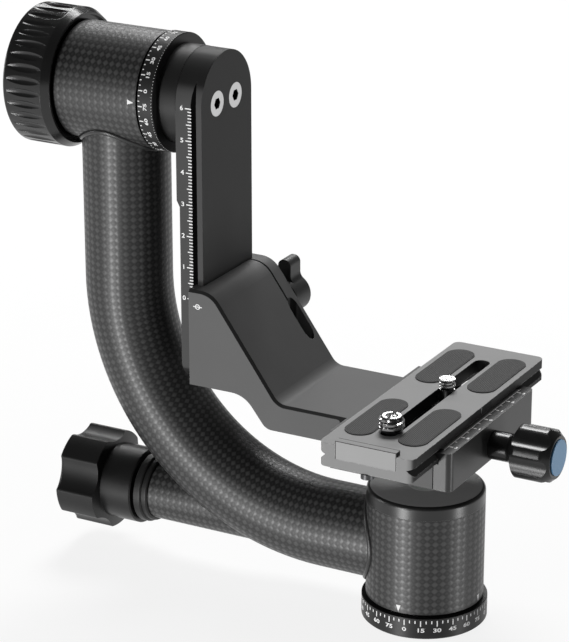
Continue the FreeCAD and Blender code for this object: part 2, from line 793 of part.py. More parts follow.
def make_tilt_housing():
    """Carbon shell, bearing sleeve and races of the tilt axis."""
    at = (SHELL_LEFT, "0", "tilt_axis_height")
    shell = body_at("tilt_shell", *at, ALONG_X)
    ring(shell, "tilt_radius - carbon_wall", "tilt_radius", "0", "tilt_shell_length")
    sleeve = body_at("tilt_sleeve", *at, ALONG_X)
    seat = TILT_BORE
    shoulder = f"{seat} - shoulder_height"
    left_shoulder = "tilt_left_bearing + bearing_width / 2"
    right_shoulder = "tilt_shell_length - tilt_right_bearing - bearing_width / 2"
    turned(sleeve, [
        (seat, "0"), ("tilt_radius - carbon_wall", "0"), ("tilt_radius - carbon_wall", "tilt_shell_length"),
        (seat, "tilt_shell_length"), (seat, right_shoulder), (shoulder, right_shoulder),
        (shoulder, left_shoulder), (seat, left_shoulder),
    ])
    left_face = "tilt_left_bearing - bearing_width / 2"
    right_face = "tilt_shell_length - tilt_right_bearing - bearing_width / 2"
    make_races("tilt", ALONG_X, at, left_face, right_face, seat)


def make_tilt_lock():
    """Fluted knob with its insert and cap, the pressure ring and the disc that it bears on."""
    knob_face = f"({KNOB_RIGHT} - tilt_knob_length)"
    turn = ALONG_X * FreeCAD.Rotation(V(0, 0, 1), number("flute_phase"))
    knob = body_at("tilt_knob", knob_face, "0", "tilt_axis_height", turn)
    recess = "tilt_knob_length - tilt_knob_recess_depth"
    turned(knob, [
        ("0", "tilt_cap_height"), ("tilt_cap_radius", "tilt_cap_height"), ("tilt_cap_radius", "0"),
        ("tilt_knob_radius", "0"), ("tilt_knob_radius", "tilt_knob_length - tilt_knob_rounding"),
        ("tilt_knob_rim_radius", "tilt_knob_length"), ("tilt_knob_recess_radius", "tilt_knob_length"),
        ("tilt_knob_recess_radius", recess), ("insert_radius", recess),
        ("insert_radius", f"{recess} - insert_length"), ("0", f"{recess} - insert_length"),
    ])
    soften(knob, "Fillet", "tilt_knob_edge", round_edge("tilt_knob_radius", "0"))
    # a flute is the print of a long spindle laid along the rim: deepest midway, gone at both ends
    shortfall = "(flute_radius - flute_depth)"
    bow = "((flute_length ^ 2 / 4 + flute_depth ^ 2) / (2 * flute_depth))"
    reach = f"sqrt({bow} ^ 2 - ({bow} - flute_radius) ^ 2)"
    spindle_line = f"tilt_knob_radius + {shortfall}"
    middle = "flute_start + flute_length / 2"
    print_sketch = sketch_on(knob, "XZ_Plane")
    low, high = f"{middle} - {reach}", f"{middle} + {reach}"
    chord = line(print_sketch, (spindle_line, low), (spindle_line, high))
    pin(print_sketch, chord, START, spindle_line, low)
    pin(print_sketch, chord, END, spindle_line, high)
    curve = three_point_arc(print_sketch, (spindle_line, low), (f"{spindle_line} - flute_radius", middle),
                            (spindle_line, high))
    hold_radius(print_sketch, curve, bow)
    join(print_sketch, curve, START, chord, END)
    join(print_sketch, curve, END, chord, START)
    flute = revolve(knob, "Groove", print_sketch, "Edge1")
    repeat_round(knob, [flute], 36)

    insert = body_at("tilt_knob_insert", knob_face, "0", "tilt_axis_height", ALONG_X)
    insert_end = f"{PRESSURE_RING} - {knob_face} - face_gap"
    ring(insert, "tilt_thread_radius + running_fit", "insert_radius", f"{recess} - insert_length", insert_end)
    cap = body_at("tilt_knob_cap", knob_face, "0", "tilt_axis_height", ALONG_X)
    ring_edge = "tilt_cap_radius"
    turned(cap, [("0", "0"), (ring_edge, "0"), (ring_edge, "tilt_cap_height"), ("0", "tilt_cap_height")])

    press = body_at("tilt_pressure_ring", PRESSURE_RING, "0", "tilt_axis_height", ALONG_X)
    ring(press, "tilt_thread_radius + running_fit", "pressure_ring_radius", "0", "pressure_ring_width")
    disc = body_at("tilt_brake_disc", TILT_DISC, "0", "tilt_axis_height", ALONG_X)
    ring(disc, "bearing_bore", "tilt_disc_radius", "0", "tilt_disc_width")


def three_point_arc(sketch, first, through, last):
    """Draw an arc through three (across, up) pairs of formulas."""
    spots = [V(number(across), number(up), 0) for across, up in (first, through, last)]
    return sketch.addGeometry(Part.Arc(*spots), False)


# ---------------------------------------------------------------- tilting arm

def make_tilt_shaft():
    """Flanged shaft through the tilt housing and the dial ring on it."""
    thread_end = f"({KNOB_RIGHT} - insert_length)"
    shaft = body_at("tilt_shaft", thread_end, "0", "tilt_axis_height", ALONG_X)
    journal = f"{TILT_DISC} - {thread_end}"
    flange = f"{FLANGE_LEFT} - {thread_end}"
    face = f"{RAIL_BACK} - {thread_end}"
    turned(shaft, [
        ("0", "0"), ("tilt_thread_radius", "0"), ("tilt_thread_radius", journal), ("bearing_bore", journal),
        ("bearing_bore", flange), ("flange_radius", flange), ("flange_radius", face), ("0", face),
    ])
    for side in ("rail_screw_spacing / 2", "-rail_screw_spacing / 2"):
        bore(shaft, "XY_Plane", "rail_screw_radius", "rail_screw_length - rail_thickness", side, "0", face)
    dial = body_at("tilt_dial_ring", DIAL_LEFT, "0", "tilt_axis_height", ALONG_X)
    ring(dial, "bearing_bore", "dial_radius", "0", "dial_width")
    soften(dial, "Chamfer", "level_wall / 3", round_edge("dial_radius", "dial_width"))


def make_rail():
    """Vertical dovetail rail with a round head, held to the shaft's flange by two countersunk screws."""
    rail = body_at("rail", RAIL_BACK, "0", "tilt_axis_height")
    half = "rail_width / 2"
    outline = sketch_on(rail, "YZ_Plane")
    ends = [(f"-{half}", f"-{RAIL_DROP}"), (half, f"-{RAIL_DROP}")]
    polygon(outline, [(half, "0"), (f"-{half}", "0"), *ends])
    extrude(rail, "Pad", outline, "rail_thickness")
    soften(rail, "Fillet", "rail_corner", edge_through(X, ends))
    head = sketch_on(rail, "YZ_Plane")
    circle(head, half)
    extrude(rail, "Pad", head, "rail_thickness")
    for side in ("-", ""):
        groove = sketch_on(rail, "XY_Plane")
        wide = "rail_thickness - rail_lip"
        polygon(groove, [
            (wide, f"{side}({half})"), (f"{wide} - rail_groove_width", f"{side}({half})"),
            (f"{wide} - rail_groove_width / 2", f"{side}({half} - rail_groove_depth)"),
        ])
        extrude(rail, "Pocket", groove, f"4 * {RAIL_DROP}", True)
    relief = sketch_on(rail, "XZ_Plane")
    relief_top, relief_end = "-rail_relief_drop + rail_relief_run", f"-({RAIL_DROP} + rail_relief)"
    polygon(relief, [
        ("0", relief_top), ("0", relief_end), ("rail_relief", relief_end),
        ("rail_relief", "-rail_relief_drop"),
    ])
    extrude(rail, "Pocket", relief, "2 * rail_width", True)
    for side in ("rail_screw_spacing / 2", "-rail_screw_spacing / 2"):
        bore(rail, "YZ_Plane", "rail_screw_radius", "rail_thickness", side, "0", "0", True)
    hole_mouth = number("rail_thickness")

    def mouth(edge):
        curve = edge.Curve
        if curve.TypeId != "Part::GeomCircle":
            return False
        return near(curve.Radius, number("rail_screw_radius")) and near(curve.Center.x, hole_mouth)
    soften(rail, "Chamfer", "rail_screw_head - rail_screw_radius + face_gap", mouth)

    screws = body_at("rail_screws", RAIL_FRONT, "0", "tilt_axis_height")
    axis = "rail_screw_spacing / 2"
    sink = "rail_screw_head - rail_screw_radius"
    top = "-face_gap"
    screw = turned_aside(screws, "Revolution", "XY_Plane", [
        (top, axis), (top, f"{axis} + rail_screw_head"), (f"{top} - ({sink})", f"{axis} + rail_screw_radius"),
        ("-rail_screw_length", f"{axis} + rail_screw_radius"), ("-rail_screw_length", axis),
    ])
    socket = sketch_on(screws, "YZ_Plane", top)
    corners = [(f"{axis} + rail_screw_socket * cos({60 * k})", f"rail_screw_socket * sin({60 * k})")
               for k in range(6)]
    corners = [(across, "0" if k % 3 == 0 else up) for k, (across, up) in enumerate(corners)]
    polygon(socket, corners)
    hollow = extrude(screws, "Pocket", socket, "socket_depth")
    mirror(screws, [screw, hollow], "XZ_Plane")


# ---------------------------------------------------------------- cradle

def make_bracket():
    """Cradle bracket that wraps the rail, in one piece with the fixed half of the clamp."""
    bracket = body_at("cradle_bracket", RAIL_FRONT, "0", CLAMP_TOP)
    nose = ("nose_length", "bracket_height")
    foot = ("slope_foot", "0")
    heel = ("heel_length", "bracket_heel")
    belly = ("belly_length", "-belly_drop")
    profile = sketch_on(bracket, "XZ_Plane")
    polygon(profile, [
        ("-bracket_lip", "bracket_heel"), heel, belly, ("cradle_reach + fixed_jaw_width / 2", "-belly_drop"),
        ("cradle_reach + fixed_jaw_width / 2", "0"), foot, nose, ("-bracket_lip", "bracket_height"),
    ])
    extrude(bracket, "Pad", profile, "bracket_width", True)
    for corner, rounding in ((nose, "nose_rounding"), (foot, "foot_rounding"), (heel, "heel_rounding"),
                             (belly, "belly_rounding")):
        soften(bracket, "Fillet", rounding, edge_through(Y, [corner]))
    soften(bracket, "Chamfer", "bracket_bevel", top_side_edge)

    clamp = sketch_on(bracket, "XZ_Plane")
    land = f"{PLATE_EDGE} - running_fit"
    floor = "-clamp_floor_drop"
    undercut = "clamp_floor_drop + plate_rise - flange_top"
    polygon(clamp, [
        ("cradle_reach", "-clamp_height"), (CLAMP_RIGHT, "-clamp_height"), (CLAMP_RIGHT, floor),
        (land, floor),
        (land, f"{floor} + {undercut}"), (f"{land} + clamp_floor_drop - ({undercut})", "0"),
        ("cradle_reach", "0"),
    ])
    extrude(bracket, "Pad", clamp, "clamp_length", True)
    sides = [("cradle_reach", "bracket_width / 2"), ("cradle_reach", "-bracket_width / 2")]
    soften(bracket, "Fillet", "corner_blend", edge_through(Z, sides))

    side = "rail_width / 2 + running_fit"
    channel = sketch_on(bracket, "XY_Plane")
    lip_top = "-(rail_lip + slide_play)"
    lip_end = "-(rail_lip + slide_play + rail_groove_width / 2)"
    clear = "-(bracket_lip + rail_lip)"
    inner = f"{side} - rail_groove_depth"
    polygon(channel, [
        ("running_fit", f"-({side})"), ("running_fit", side), (lip_top, side), (lip_end, inner),
        (clear, inner),
        (clear, f"-({inner})"), (lip_end, f"-({inner})"), (lip_top, f"-({side})"),
    ])
    extrude(bracket, "Pocket", channel, "4 * bracket_height", True)
    slit = sketch_on(bracket, "XY_Plane")
    slit_near = "slit_offset - slit_width / 2"
    polygon(slit, [
        ("-bracket_lip", slit_near), ("slit_length + relief_width / 2", slit_near),
        ("slit_length + relief_width / 2", "slit_offset + slit_width / 2"),
        ("-bracket_lip", "slit_offset + slit_width / 2"),
    ])
    extrude(bracket, "Pocket", slit, "4 * bracket_height", True)
    inner_side, outer_side = f"{slit_near} - relief_shift", f"{slit_near} - relief_shift + relief_width"
    first, last = "slit_length + relief_width / 2", "slit_length + relief_length - relief_width / 2"
    relief = sketch_on(bracket, "XY_Plane")
    polygon(relief, [(first, inner_side), (last, inner_side), (last, outer_side), (first, outer_side)])
    extrude(bracket, "Pocket", relief, "4 * bracket_height", True)
    for middle in (first, last):
        end = sketch_on(bracket, "XY_Plane")
        circle(end, "relief_width / 2", middle, f"({inner_side} + {outer_side}) / 2")
        extrude(bracket, "Pocket", end, "4 * bracket_height", True)
    bore(bracket, "XZ_Plane", "height_screw_radius + running_fit", "height_screw_depth + bracket_width / 2",
         "height_screw_reach", "height_screw_rise", "-(bracket_width / 2 - height_screw_depth)")
    bore(bracket, "YZ_Plane", "clamp_screw_radius + running_fit", "clamp_screw_depth + jaw_gap", "0",
         "-clamp_axis_drop", f"{CLAMP_RIGHT} + jaw_gap")
    for across in ("guide_pin_spacing / 2", "-guide_pin_spacing / 2"):
        bore(bracket, "YZ_Plane", "guide_pin_radius", "guide_pin_depth", across, "-clamp_axis_drop",
             CLAMP_RIGHT)

    pins = body_at("jaw_guide_pins", f"{RAIL_FRONT} + {CLAMP_RIGHT}", "0", f"{CLAMP_TOP} - clamp_axis_drop")
    ends = sketch_on(pins, "YZ_Plane", "-guide_pin_depth")
    circle(ends, "guide_pin_radius", "guide_pin_spacing / 2")
    circle(ends, "guide_pin_radius", "-guide_pin_spacing / 2")
    extrude(pins, "Pad", ends, f"guide_pin_depth + {JAW_RIGHT} - {CLAMP_RIGHT} - guide_pin_cover - face_gap")


def top_side_edge(edge):
    """Pick the bracket's side edges along its nose, slope and platform."""
    half = number("bracket_width / 2")
    ends = [edge.Vertexes[0].Point, edge.Vertexes[-1].Point]
    middle = edge.valueAt((edge.FirstParameter + edge.LastParameter) / 2)
    on_side = all(near(abs(point.y), half) for point in ends + [middle])
    left, right = number("-bracket_lip"), number("cradle_reach + fixed_jaw_width / 2")
    upright = near(ends[0].x, ends[1].x)
    within = middle.z > -0.001 and left < middle.x < right
    return on_side and within and not upright and not under_heel(middle)


def under_heel(point):
    """Say whether a point lies on the bracket's underside."""
    return point.z < number("bracket_heel") + 0.001 and point.x < number("heel_length")


def make_height_lock():
    """Butterfly knob and the screw that draws the split cheek onto the rail."""
    seat = "bracket_width / 2 + face_gap"
    at = (f"{RAIL_FRONT} + height_screw_reach", seat, f"{CLAMP_TOP} + height_screw_rise")
    knob = body_at("height_knob", *at, ALONG_Y)
    hub = sketch_on(knob, "XY_Plane")
    circle(hub, "wing_hub_radius")
    extrude(knob, "Pad", hub, "wing_hub_width")
    wing = sketch_on(knob, "XY_Plane", "wing_hub_width - wing_width")
    long_side, short_side = "wing_span / 2", "wing_thickness / 2"
    polygon(wing, [
        (long_side, short_side), (f"-{long_side}", short_side), (f"-{long_side}", f"-{short_side}"),
        (long_side, f"-{short_side}"),
    ])
    extrude(knob, "Pad", wing, "wing_width")
    corners = [(f"{a}{long_side}", f"{b}{short_side}") for a in ("", "-") for b in ("", "-")]
    soften(knob, "Fillet", "wing_rounding", edge_through(Z, corners))
    waist = "sqrt(wing_hub_radius ^ 2 - wing_thickness ^ 2 / 4)"
    roots = [(f"{a}{waist}", f"{b}{short_side}") for a in ("", "-") for b in ("", "-")]
    soften(knob, "Fillet", "wing_blend", edge_through(Z, roots))
    bore(knob, "XY_Plane", "height_screw_radius", "wing_hub_width / 2", "0", "0", "0", True)

    screw = body_at("height_screw", *at, ALONG_Y)
    tip = "height_screw_depth + face_gap - running_fit"
    turned(screw, [
        ("0", f"-({tip})"), ("height_screw_radius", f"-({tip})"),
        ("height_screw_radius", "wing_hub_width / 2"),
        ("0", "wing_hub_width / 2"),
    ])


def make_jaw():
    """Moving jaw, and the fluted knob with the screw that draws it in."""
    jaw = body_at("clamp_jaw", RAIL_FRONT, "0", CLAMP_TOP)
    land = f"{PLATE_EDGE} + plate_width + running_fit"
    floor = "-clamp_floor_drop"
    undercut = "clamp_floor_drop + plate_rise - flange_top"
    profile = sketch_on(jaw, "XZ_Plane")
    polygon(profile, [
        (JAW_LEFT, "-clamp_height"), (JAW_RIGHT, "-clamp_height"), (JAW_RIGHT, "0"),
        (f"{land} - clamp_floor_drop + {undercut}", "0"), (land, f"{floor} + {undercut}"), (land, floor),
        (JAW_LEFT, floor),
    ])
    extrude(jaw, "Pad", profile, "clamp_length", True)
    corners = [(JAW_RIGHT, "clamp_length / 2"), (JAW_RIGHT, "-clamp_length / 2")]
    soften(jaw, "Fillet", "jaw_rounding", edge_through(Z, corners))
    bore(jaw, "YZ_Plane", "clamp_screw_radius + running_fit", f"{JAW_RIGHT} - {CLAMP_RIGHT}", "0",
         "-clamp_axis_drop", JAW_RIGHT)
    for across in ("guide_pin_spacing / 2", "-guide_pin_spacing / 2"):
        bore(jaw, "YZ_Plane", "guide_pin_radius + running_fit", f"{JAW_RIGHT} - {CLAMP_RIGHT}", across,
             "-clamp_axis_drop", f"{JAW_RIGHT} - guide_pin_cover")

    at = (f"{RAIL_FRONT} + {JAW_RIGHT} + running_fit", "0", f"{CLAMP_TOP} - clamp_axis_drop")
    turn = ALONG_X * FreeCAD.Rotation(V(0, 0, 1), number("clamp_flute_phase"))
    knob = body_at("clamp_knob", *at, turn)
    taper = "clamp_knob_length - clamp_knob_taper"
    cap_floor = "clamp_knob_length + clamp_cap_proud - clamp_cap_height"
    turned(knob, [
        ("clamp_screw_radius", "0"), ("clamp_knob_neck", "0"), ("clamp_knob_neck", "clamp_knob_waist"),
        ("clamp_knob_radius", "clamp_knob_start"), ("clamp_knob_radius", taper),
        ("clamp_knob_end", "clamp_knob_length"), ("clamp_cap_radius", "clamp_knob_length"),
        ("clamp_cap_radius", cap_floor), ("0", cap_floor), ("0", "clamp_knob_start"),
        ("clamp_screw_radius", "clamp_knob_start"),
    ])
    for radius, height in (("clamp_knob_neck", "clamp_knob_waist"), ("clamp_knob_radius", "clamp_knob_start"),
                           ("clamp_knob_radius", taper)):
        soften(knob, "Fillet", "clamp_knob_blend", round_edge(radius, height))
    flute = bore(knob, "XY_Plane", "clamp_flute_radius", "clamp_knob_length - clamp_knob_waist",
                 "clamp_knob_radius - clamp_flute_depth + clamp_flute_radius", "0", "clamp_knob_waist", True)
    repeat_round(knob, [flute], 6)

    screw = body_at("clamp_screw", *at, ALONG_X)
    tip = f"{JAW_RIGHT} - {CLAMP_RIGHT} + clamp_screw_depth - running_fit"
    turned(screw, [
        ("0", f"-({tip})"), ("clamp_screw_radius", f"-({tip})"), ("clamp_screw_radius", "clamp_knob_start"),
        ("0", "clamp_knob_start"),
    ])
    cap = body_at("clamp_knob_cap", *at, ALONG_X)
    cap_top = "clamp_knob_length + clamp_cap_proud"
    turned(cap, [
        ("0", cap_floor), ("clamp_cap_radius", cap_floor), ("clamp_cap_radius", cap_top), ("0", cap_top),
    ])


# ---------------------------------------------------------------- camera plate

def make_plate():
    """Slotted dovetail plate with rubber pads, its end stop and its safety stop screws."""
    plate = body_at("camera_plate", PLATE_X, "0", DECK_Z)
    half, end = "plate_width / 2", "plate_length / 2"
    outline = sketch_on(plate, "XY_Plane")
    polygon(outline, [(half, end), (f"-{half}", end), (f"-{half}", f"-{end}"), (half, f"-{end}")])
    extrude(plate, "Pad", outline, "plate_thickness", False, True)
    lower_edges = [(f"{a}{half}", "-plate_thickness") for a in ("", "-")]
    soften(plate, "Chamfer", "flange_bevel", edge_through(Y, lower_edges))
    corners = [(f"{a}{half}", f"{b}{end}") for a in ("", "-") for b in ("", "-")]
    soften(plate, "Fillet", "plate_corner", edge_through(Z, corners))
    for side in ("", "-"):
        groove = sketch_on(plate, "XZ_Plane")
        polygon(groove, [
            (f"{side}({half})", "-deck_edge"), (f"{side}({half})", "-flange_top"),
            (f"{side}({half} - groove_depth)", "-groove_apex"),
        ])
        extrude(plate, "Pocket", groove, "2 * plate_length", True)
    slot = sketch_on(plate, "XY_Plane")
    stadium(slot, "slot_width / 2", "0", "-slot_front", "slot_back")
    extrude(plate, "Pocket", slot, "plate_thickness")
    channel = sketch_on(plate, "XY_Plane", "-plate_thickness")
    stadium(channel, "channel_width / 2", "0", "-slot_front - channel_overrun", "slot_back + channel_overrun")
    extrude(plate, "Pocket", channel, "channel_depth", False, True)
    seats = sketch_on(plate, "XY_Plane")
    pad_outlines(seats)
    extrude(plate, "Pocket", seats, "pad_recess")
    notch = sketch_on(plate, "XY_Plane")
    polygon(notch, stop_outline())
    extrude(plate, "Pocket", notch, "stop_seat")
    for side in ("", "-"):
        bore(plate, "XY_Plane", "stop_screw_radius", "stop_screw_depth", "0", f"{side}stop_screw_offset",
             "-plate_thickness", True)

    pads = body_at("plate_pads", PLATE_X, "0", DECK_Z)
    rubber = sketch_on(pads, "XY_Plane", "-pad_recess")
    pad_outlines(rubber)
    extrude(pads, "Pad", rubber, "pad_recess + pad_proud")

    stop = body_at("plate_end_stop", PLATE_X, "0", DECK_Z)
    block = sketch_on(stop, "XY_Plane", "-stop_seat")
    polygon(block, stop_outline())
    extrude(stop, "Pad", block, "stop_seat + stop_rise")

    screws = body_at("plate_stop_screws", PLATE_X, "0", DECK_Z)
    under = "-plate_thickness"
    heads = sketch_on(screws, "XY_Plane", under)
    shanks = sketch_on(screws, "XY_Plane", under)
    for side in ("", "-"):
        circle(heads, "stop_screw_head", "0", f"{side}stop_screw_offset")
        circle(shanks, "stop_screw_radius", "0", f"{side}stop_screw_offset")
    extrude(screws, "Pad", heads, "stop_screw_drop", False, True)
    extrude(screws, "Pad", shanks, "stop_screw_depth")


def pad_outlines(sketch):
    """Draw the four rubber pads, a pair in front and a pair behind."""
    for side in ("", "-"):
        stadium(sketch, "pad_width / 2", f"{side}pad_offset", "-front_pad_start", "-front_pad_end")
        stadium(sketch, "pad_width / 2", f"{side}pad_offset", "back_pad_start", "back_pad_end")


def stop_outline():
    """Corners of the end stop, seen from above."""
    front = "-plate_length / 2"
    back = "stop_depth - plate_length / 2"
    return [("stop_width / 2", front), ("stop_width / 2", back), ("-stop_width / 2", back),
            ("-stop_width / 2", front)]


def make_camera_screw(prefix, place, hollow):
    """Slotted camera screw on a captive washer that slides in the plate's channel."""
    neck, thread, thread_top = prefix + "_neck_radius", prefix + "_thread_radius", prefix + "_thread_top"
    screw = body_at(prefix + "_camera_screw", PLATE_X, place, DECK_Z)
    head_low = f"{HEAD_TOP} - screw_head_height"
    step = "pad_proud + thread_seat_gap"
    turned(screw, [
        ("0", head_low), ("screw_head_radius", head_low), ("screw_head_radius", HEAD_TOP), (neck, HEAD_TOP),
        (neck, step), (thread, step), (thread, f"{thread_top} - base_bevel"),
        (f"{thread} - base_bevel", thread_top), ("0", thread_top),
    ])
    slot = sketch_on(screw, "XY_Plane", head_low)
    long_side, short_side = "screw_head_radius + face_gap", "screw_slot_width / 2"
    polygon(slot, [
        (long_side, short_side), (f"-({long_side})", short_side), (f"-({long_side})", f"-{short_side}"),
        (long_side, f"-{short_side}"),
    ])
    extrude(screw, "Pocket", slot, "screw_slot_depth", False, True)
    bore(screw, "XY_Plane", hollow, f"{thread_top} / 2", "0", "0", thread_top)
    washer = body_at(prefix + "_screw_washer", PLATE_X, place, DECK_Z)
    low = "channel_depth - plate_thickness - running_fit - washer_height"
    ring(washer, f"{neck} + running_fit", "screw_head_radius", low, f"{low} + washer_height")


# ---------------------------------------------------------------- build, check and write

make_base()
make_pan_housing()
make_arm()
make_pan_lock()
make_tilt_housing()
make_tilt_lock()
make_tilt_shaft()
make_rail()
make_bracket()
make_height_lock()
make_jaw()
make_plate()
make_camera_screw("large", "-large_screw_place", "large_screw_bore")
make_camera_screw("small", "small_screw_place", "small_screw_bore")
doc.recompute()

for item in doc.Objects:
    if {"Invalid", "Error"} & set(item.State):
        raise RuntimeError("%s failed: %s" % (item.Name, item.State))
for item in doc.Objects:
    if item.TypeId in ("PartDesign::Pocket", "PartDesign::Groove", "PartDesign::SubtractivePipe"):
        if item.Shape.Volume > item.BaseFeature.Shape.Volume - 0.01:
            raise RuntimeError(item.Name + " cuts nothing")
for piece in pieces:
    if piece.Shape.isNull() or not piece.Shape.isValid():
        raise RuntimeError(piece.Label + " has no valid shape")

os.makedirs("parts", exist_ok=True)
for piece in pieces:
    piece.Shape.exportStep(os.path.join("parts", piece.Label + ".step"))
print(len(pieces), "sub-parts written")
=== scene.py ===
# %% [markdown]
# # A gimbal tripod head on a studio table
#
# The solids come ready from the CAD model, each one a separate piece with its own joint. This script
# gives them what a solid can't show: the woven carbon, the anodised skin, the engraved degree dials, the
# height scale, and the threads of the camera screws. The frame is loaded first, so that every later piece
# can take its place from it and nothing has to be fitted by eye.

# %% Load the frame
import math

import bmesh
import bpy
from mathutils import Matrix, Vector


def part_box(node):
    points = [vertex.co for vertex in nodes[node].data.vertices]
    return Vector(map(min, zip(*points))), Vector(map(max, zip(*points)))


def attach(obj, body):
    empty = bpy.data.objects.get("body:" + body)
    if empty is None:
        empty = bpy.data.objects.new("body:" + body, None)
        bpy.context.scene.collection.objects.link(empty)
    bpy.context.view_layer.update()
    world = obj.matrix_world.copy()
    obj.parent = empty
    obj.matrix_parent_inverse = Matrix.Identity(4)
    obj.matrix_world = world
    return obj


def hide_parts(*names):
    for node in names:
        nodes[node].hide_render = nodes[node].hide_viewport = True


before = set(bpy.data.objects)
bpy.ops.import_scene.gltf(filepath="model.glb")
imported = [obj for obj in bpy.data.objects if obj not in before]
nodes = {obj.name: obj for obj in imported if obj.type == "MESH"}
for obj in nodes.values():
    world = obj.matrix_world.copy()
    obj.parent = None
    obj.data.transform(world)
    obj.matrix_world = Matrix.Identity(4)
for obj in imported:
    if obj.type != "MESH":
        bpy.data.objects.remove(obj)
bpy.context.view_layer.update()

# %% [markdown]
# ## Lengths
#
# Blender works in metres and a tripod head is drawn in millimetres, so one factor turns the one into the
# other. The places below are read from the solids' own boxes where they can be, so that a dial's print
# stays on its ring.

# %% Millimetres and the main axes
MM = 0.001


def span(node):
    """A solid's lowest and highest corner, in millimetres."""
    low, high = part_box(node)
    return low / MM, high / MM


ring_high = span("base_plate")[1]
shell_low, shell_high = span("pan_shell")
tube_low, tube_high = span("arm_tube")
stub_low, stub_high = span("lock_stub")
tilt_low, tilt_high = span("tilt_shell")
dial_low, dial_high = span("tilt_dial_ring")
rail_front = span("rail")[0].y
jaw_top = span("clamp_jaw")[1].z
plate_low, plate_high = span("camera_plate")
stop_low, stop_high = span("plate_end_stop")
tilt_axis = (tilt_low.z + tilt_high.z) / 2
print("tilt axis", round(tilt_axis, 1), "mm above the table")

# %% [markdown]
# ## The camera
#
# A product lens stands about a metre away and looks down on the head from its front right corner. Its
# place is written as an angle round the head, an angle above the table and a distance, which is how a
# studio notes it down, and the matrix is built from the three directions that follow. The picture is cut
# off-centre from the lens's axis, so a small shift moves the frame and keeps the perspective.

# %% Camera
AZIMUTH, ELEVATION, ROLL = 27.5605, 21.0646, 0.3279     # degrees
AIM = Vector((-40.0, 0.0, 100.0)) * MM
DISTANCE = 1066.95 * MM
PICTURE_HEIGHT = 642
FOCAL_PIXELS, SHIFT_RIGHT, SHIFT_DOWN = 2809.19, 49.234, 31.127


def direction(azimuth, elevation):
    """The way that lies azimuth degrees to the right of straight ahead, and elevation degrees above it."""
    around, above = math.radians(azimuth), math.radians(elevation)
    return Vector((math.sin(around) * math.cos(above), -math.cos(around) * math.cos(above), math.sin(above)))


def link(name, data):
    """Make an object of a mesh, a lamp or a lens, at the origin."""
    made = bpy.data.objects.new(name, data)
    bpy.context.scene.collection.objects.link(made)
    return made


backwards = direction(AZIMUTH, ELEVATION)
sideways = direction(AZIMUTH + 90, 0)
upright = backwards.cross(sideways)
rolled = math.radians(ROLL)
rightwards = sideways * math.cos(rolled) + upright * math.sin(rolled)
upwards = upright * math.cos(rolled) - sideways * math.sin(rolled)

lens = bpy.data.cameras.new("camera")
lens.sensor_fit = "VERTICAL"
lens.sensor_height = 36
lens.lens = FOCAL_PIXELS / PICTURE_HEIGHT * lens.sensor_height
lens.shift_x = -SHIFT_RIGHT / PICTURE_HEIGHT
lens.shift_y = SHIFT_DOWN / PICTURE_HEIGHT
camera = link("camera", lens)
turn = Matrix((rightwards, upwards, backwards)).transposed().to_4x4()
camera.matrix_world = Matrix.Translation(AIM + backwards * DISTANCE) @ turn
bpy.context.scene.camera = camera
print("lens", round(lens.lens, 1), "mm")

# %% [markdown]
# ## Words for the shader
#
# A finish is a sum of small patterns, and sums are easier to read as sums than as wires. A Wire is one
# socket that answers to +, -, *, <, > and abs, and each answer is a Math node. A Finish is one node tree,
# of a material or of the world: its node method makes every other kind of node, settings first and then
# the sockets.

# %% Wire
class Wire:
    """A socket that can be written in a sum."""

    def __init__(self, finish, socket):
        self.finish = finish
        self.socket = socket

    def __add__(self, other):
        return self.finish.math("ADD", self, other)

    def __sub__(self, other):
        return self.finish.math("SUBTRACT", self, other)

    def __rsub__(self, other):
        return self.finish.math("SUBTRACT", other, self)

    def __mul__(self, other):
        return self.finish.math("MULTIPLY", self, other)

    def __gt__(self, other):
        return self.finish.math("GREATER_THAN", self, other)

    def __lt__(self, other):
        return self.finish.math("LESS_THAN", self, other)

    def __abs__(self):
        return self.finish.math("ABSOLUTE", self)

    __radd__, __rmul__ = __add__, __mul__


print("a Wire answers to + - * < > abs")


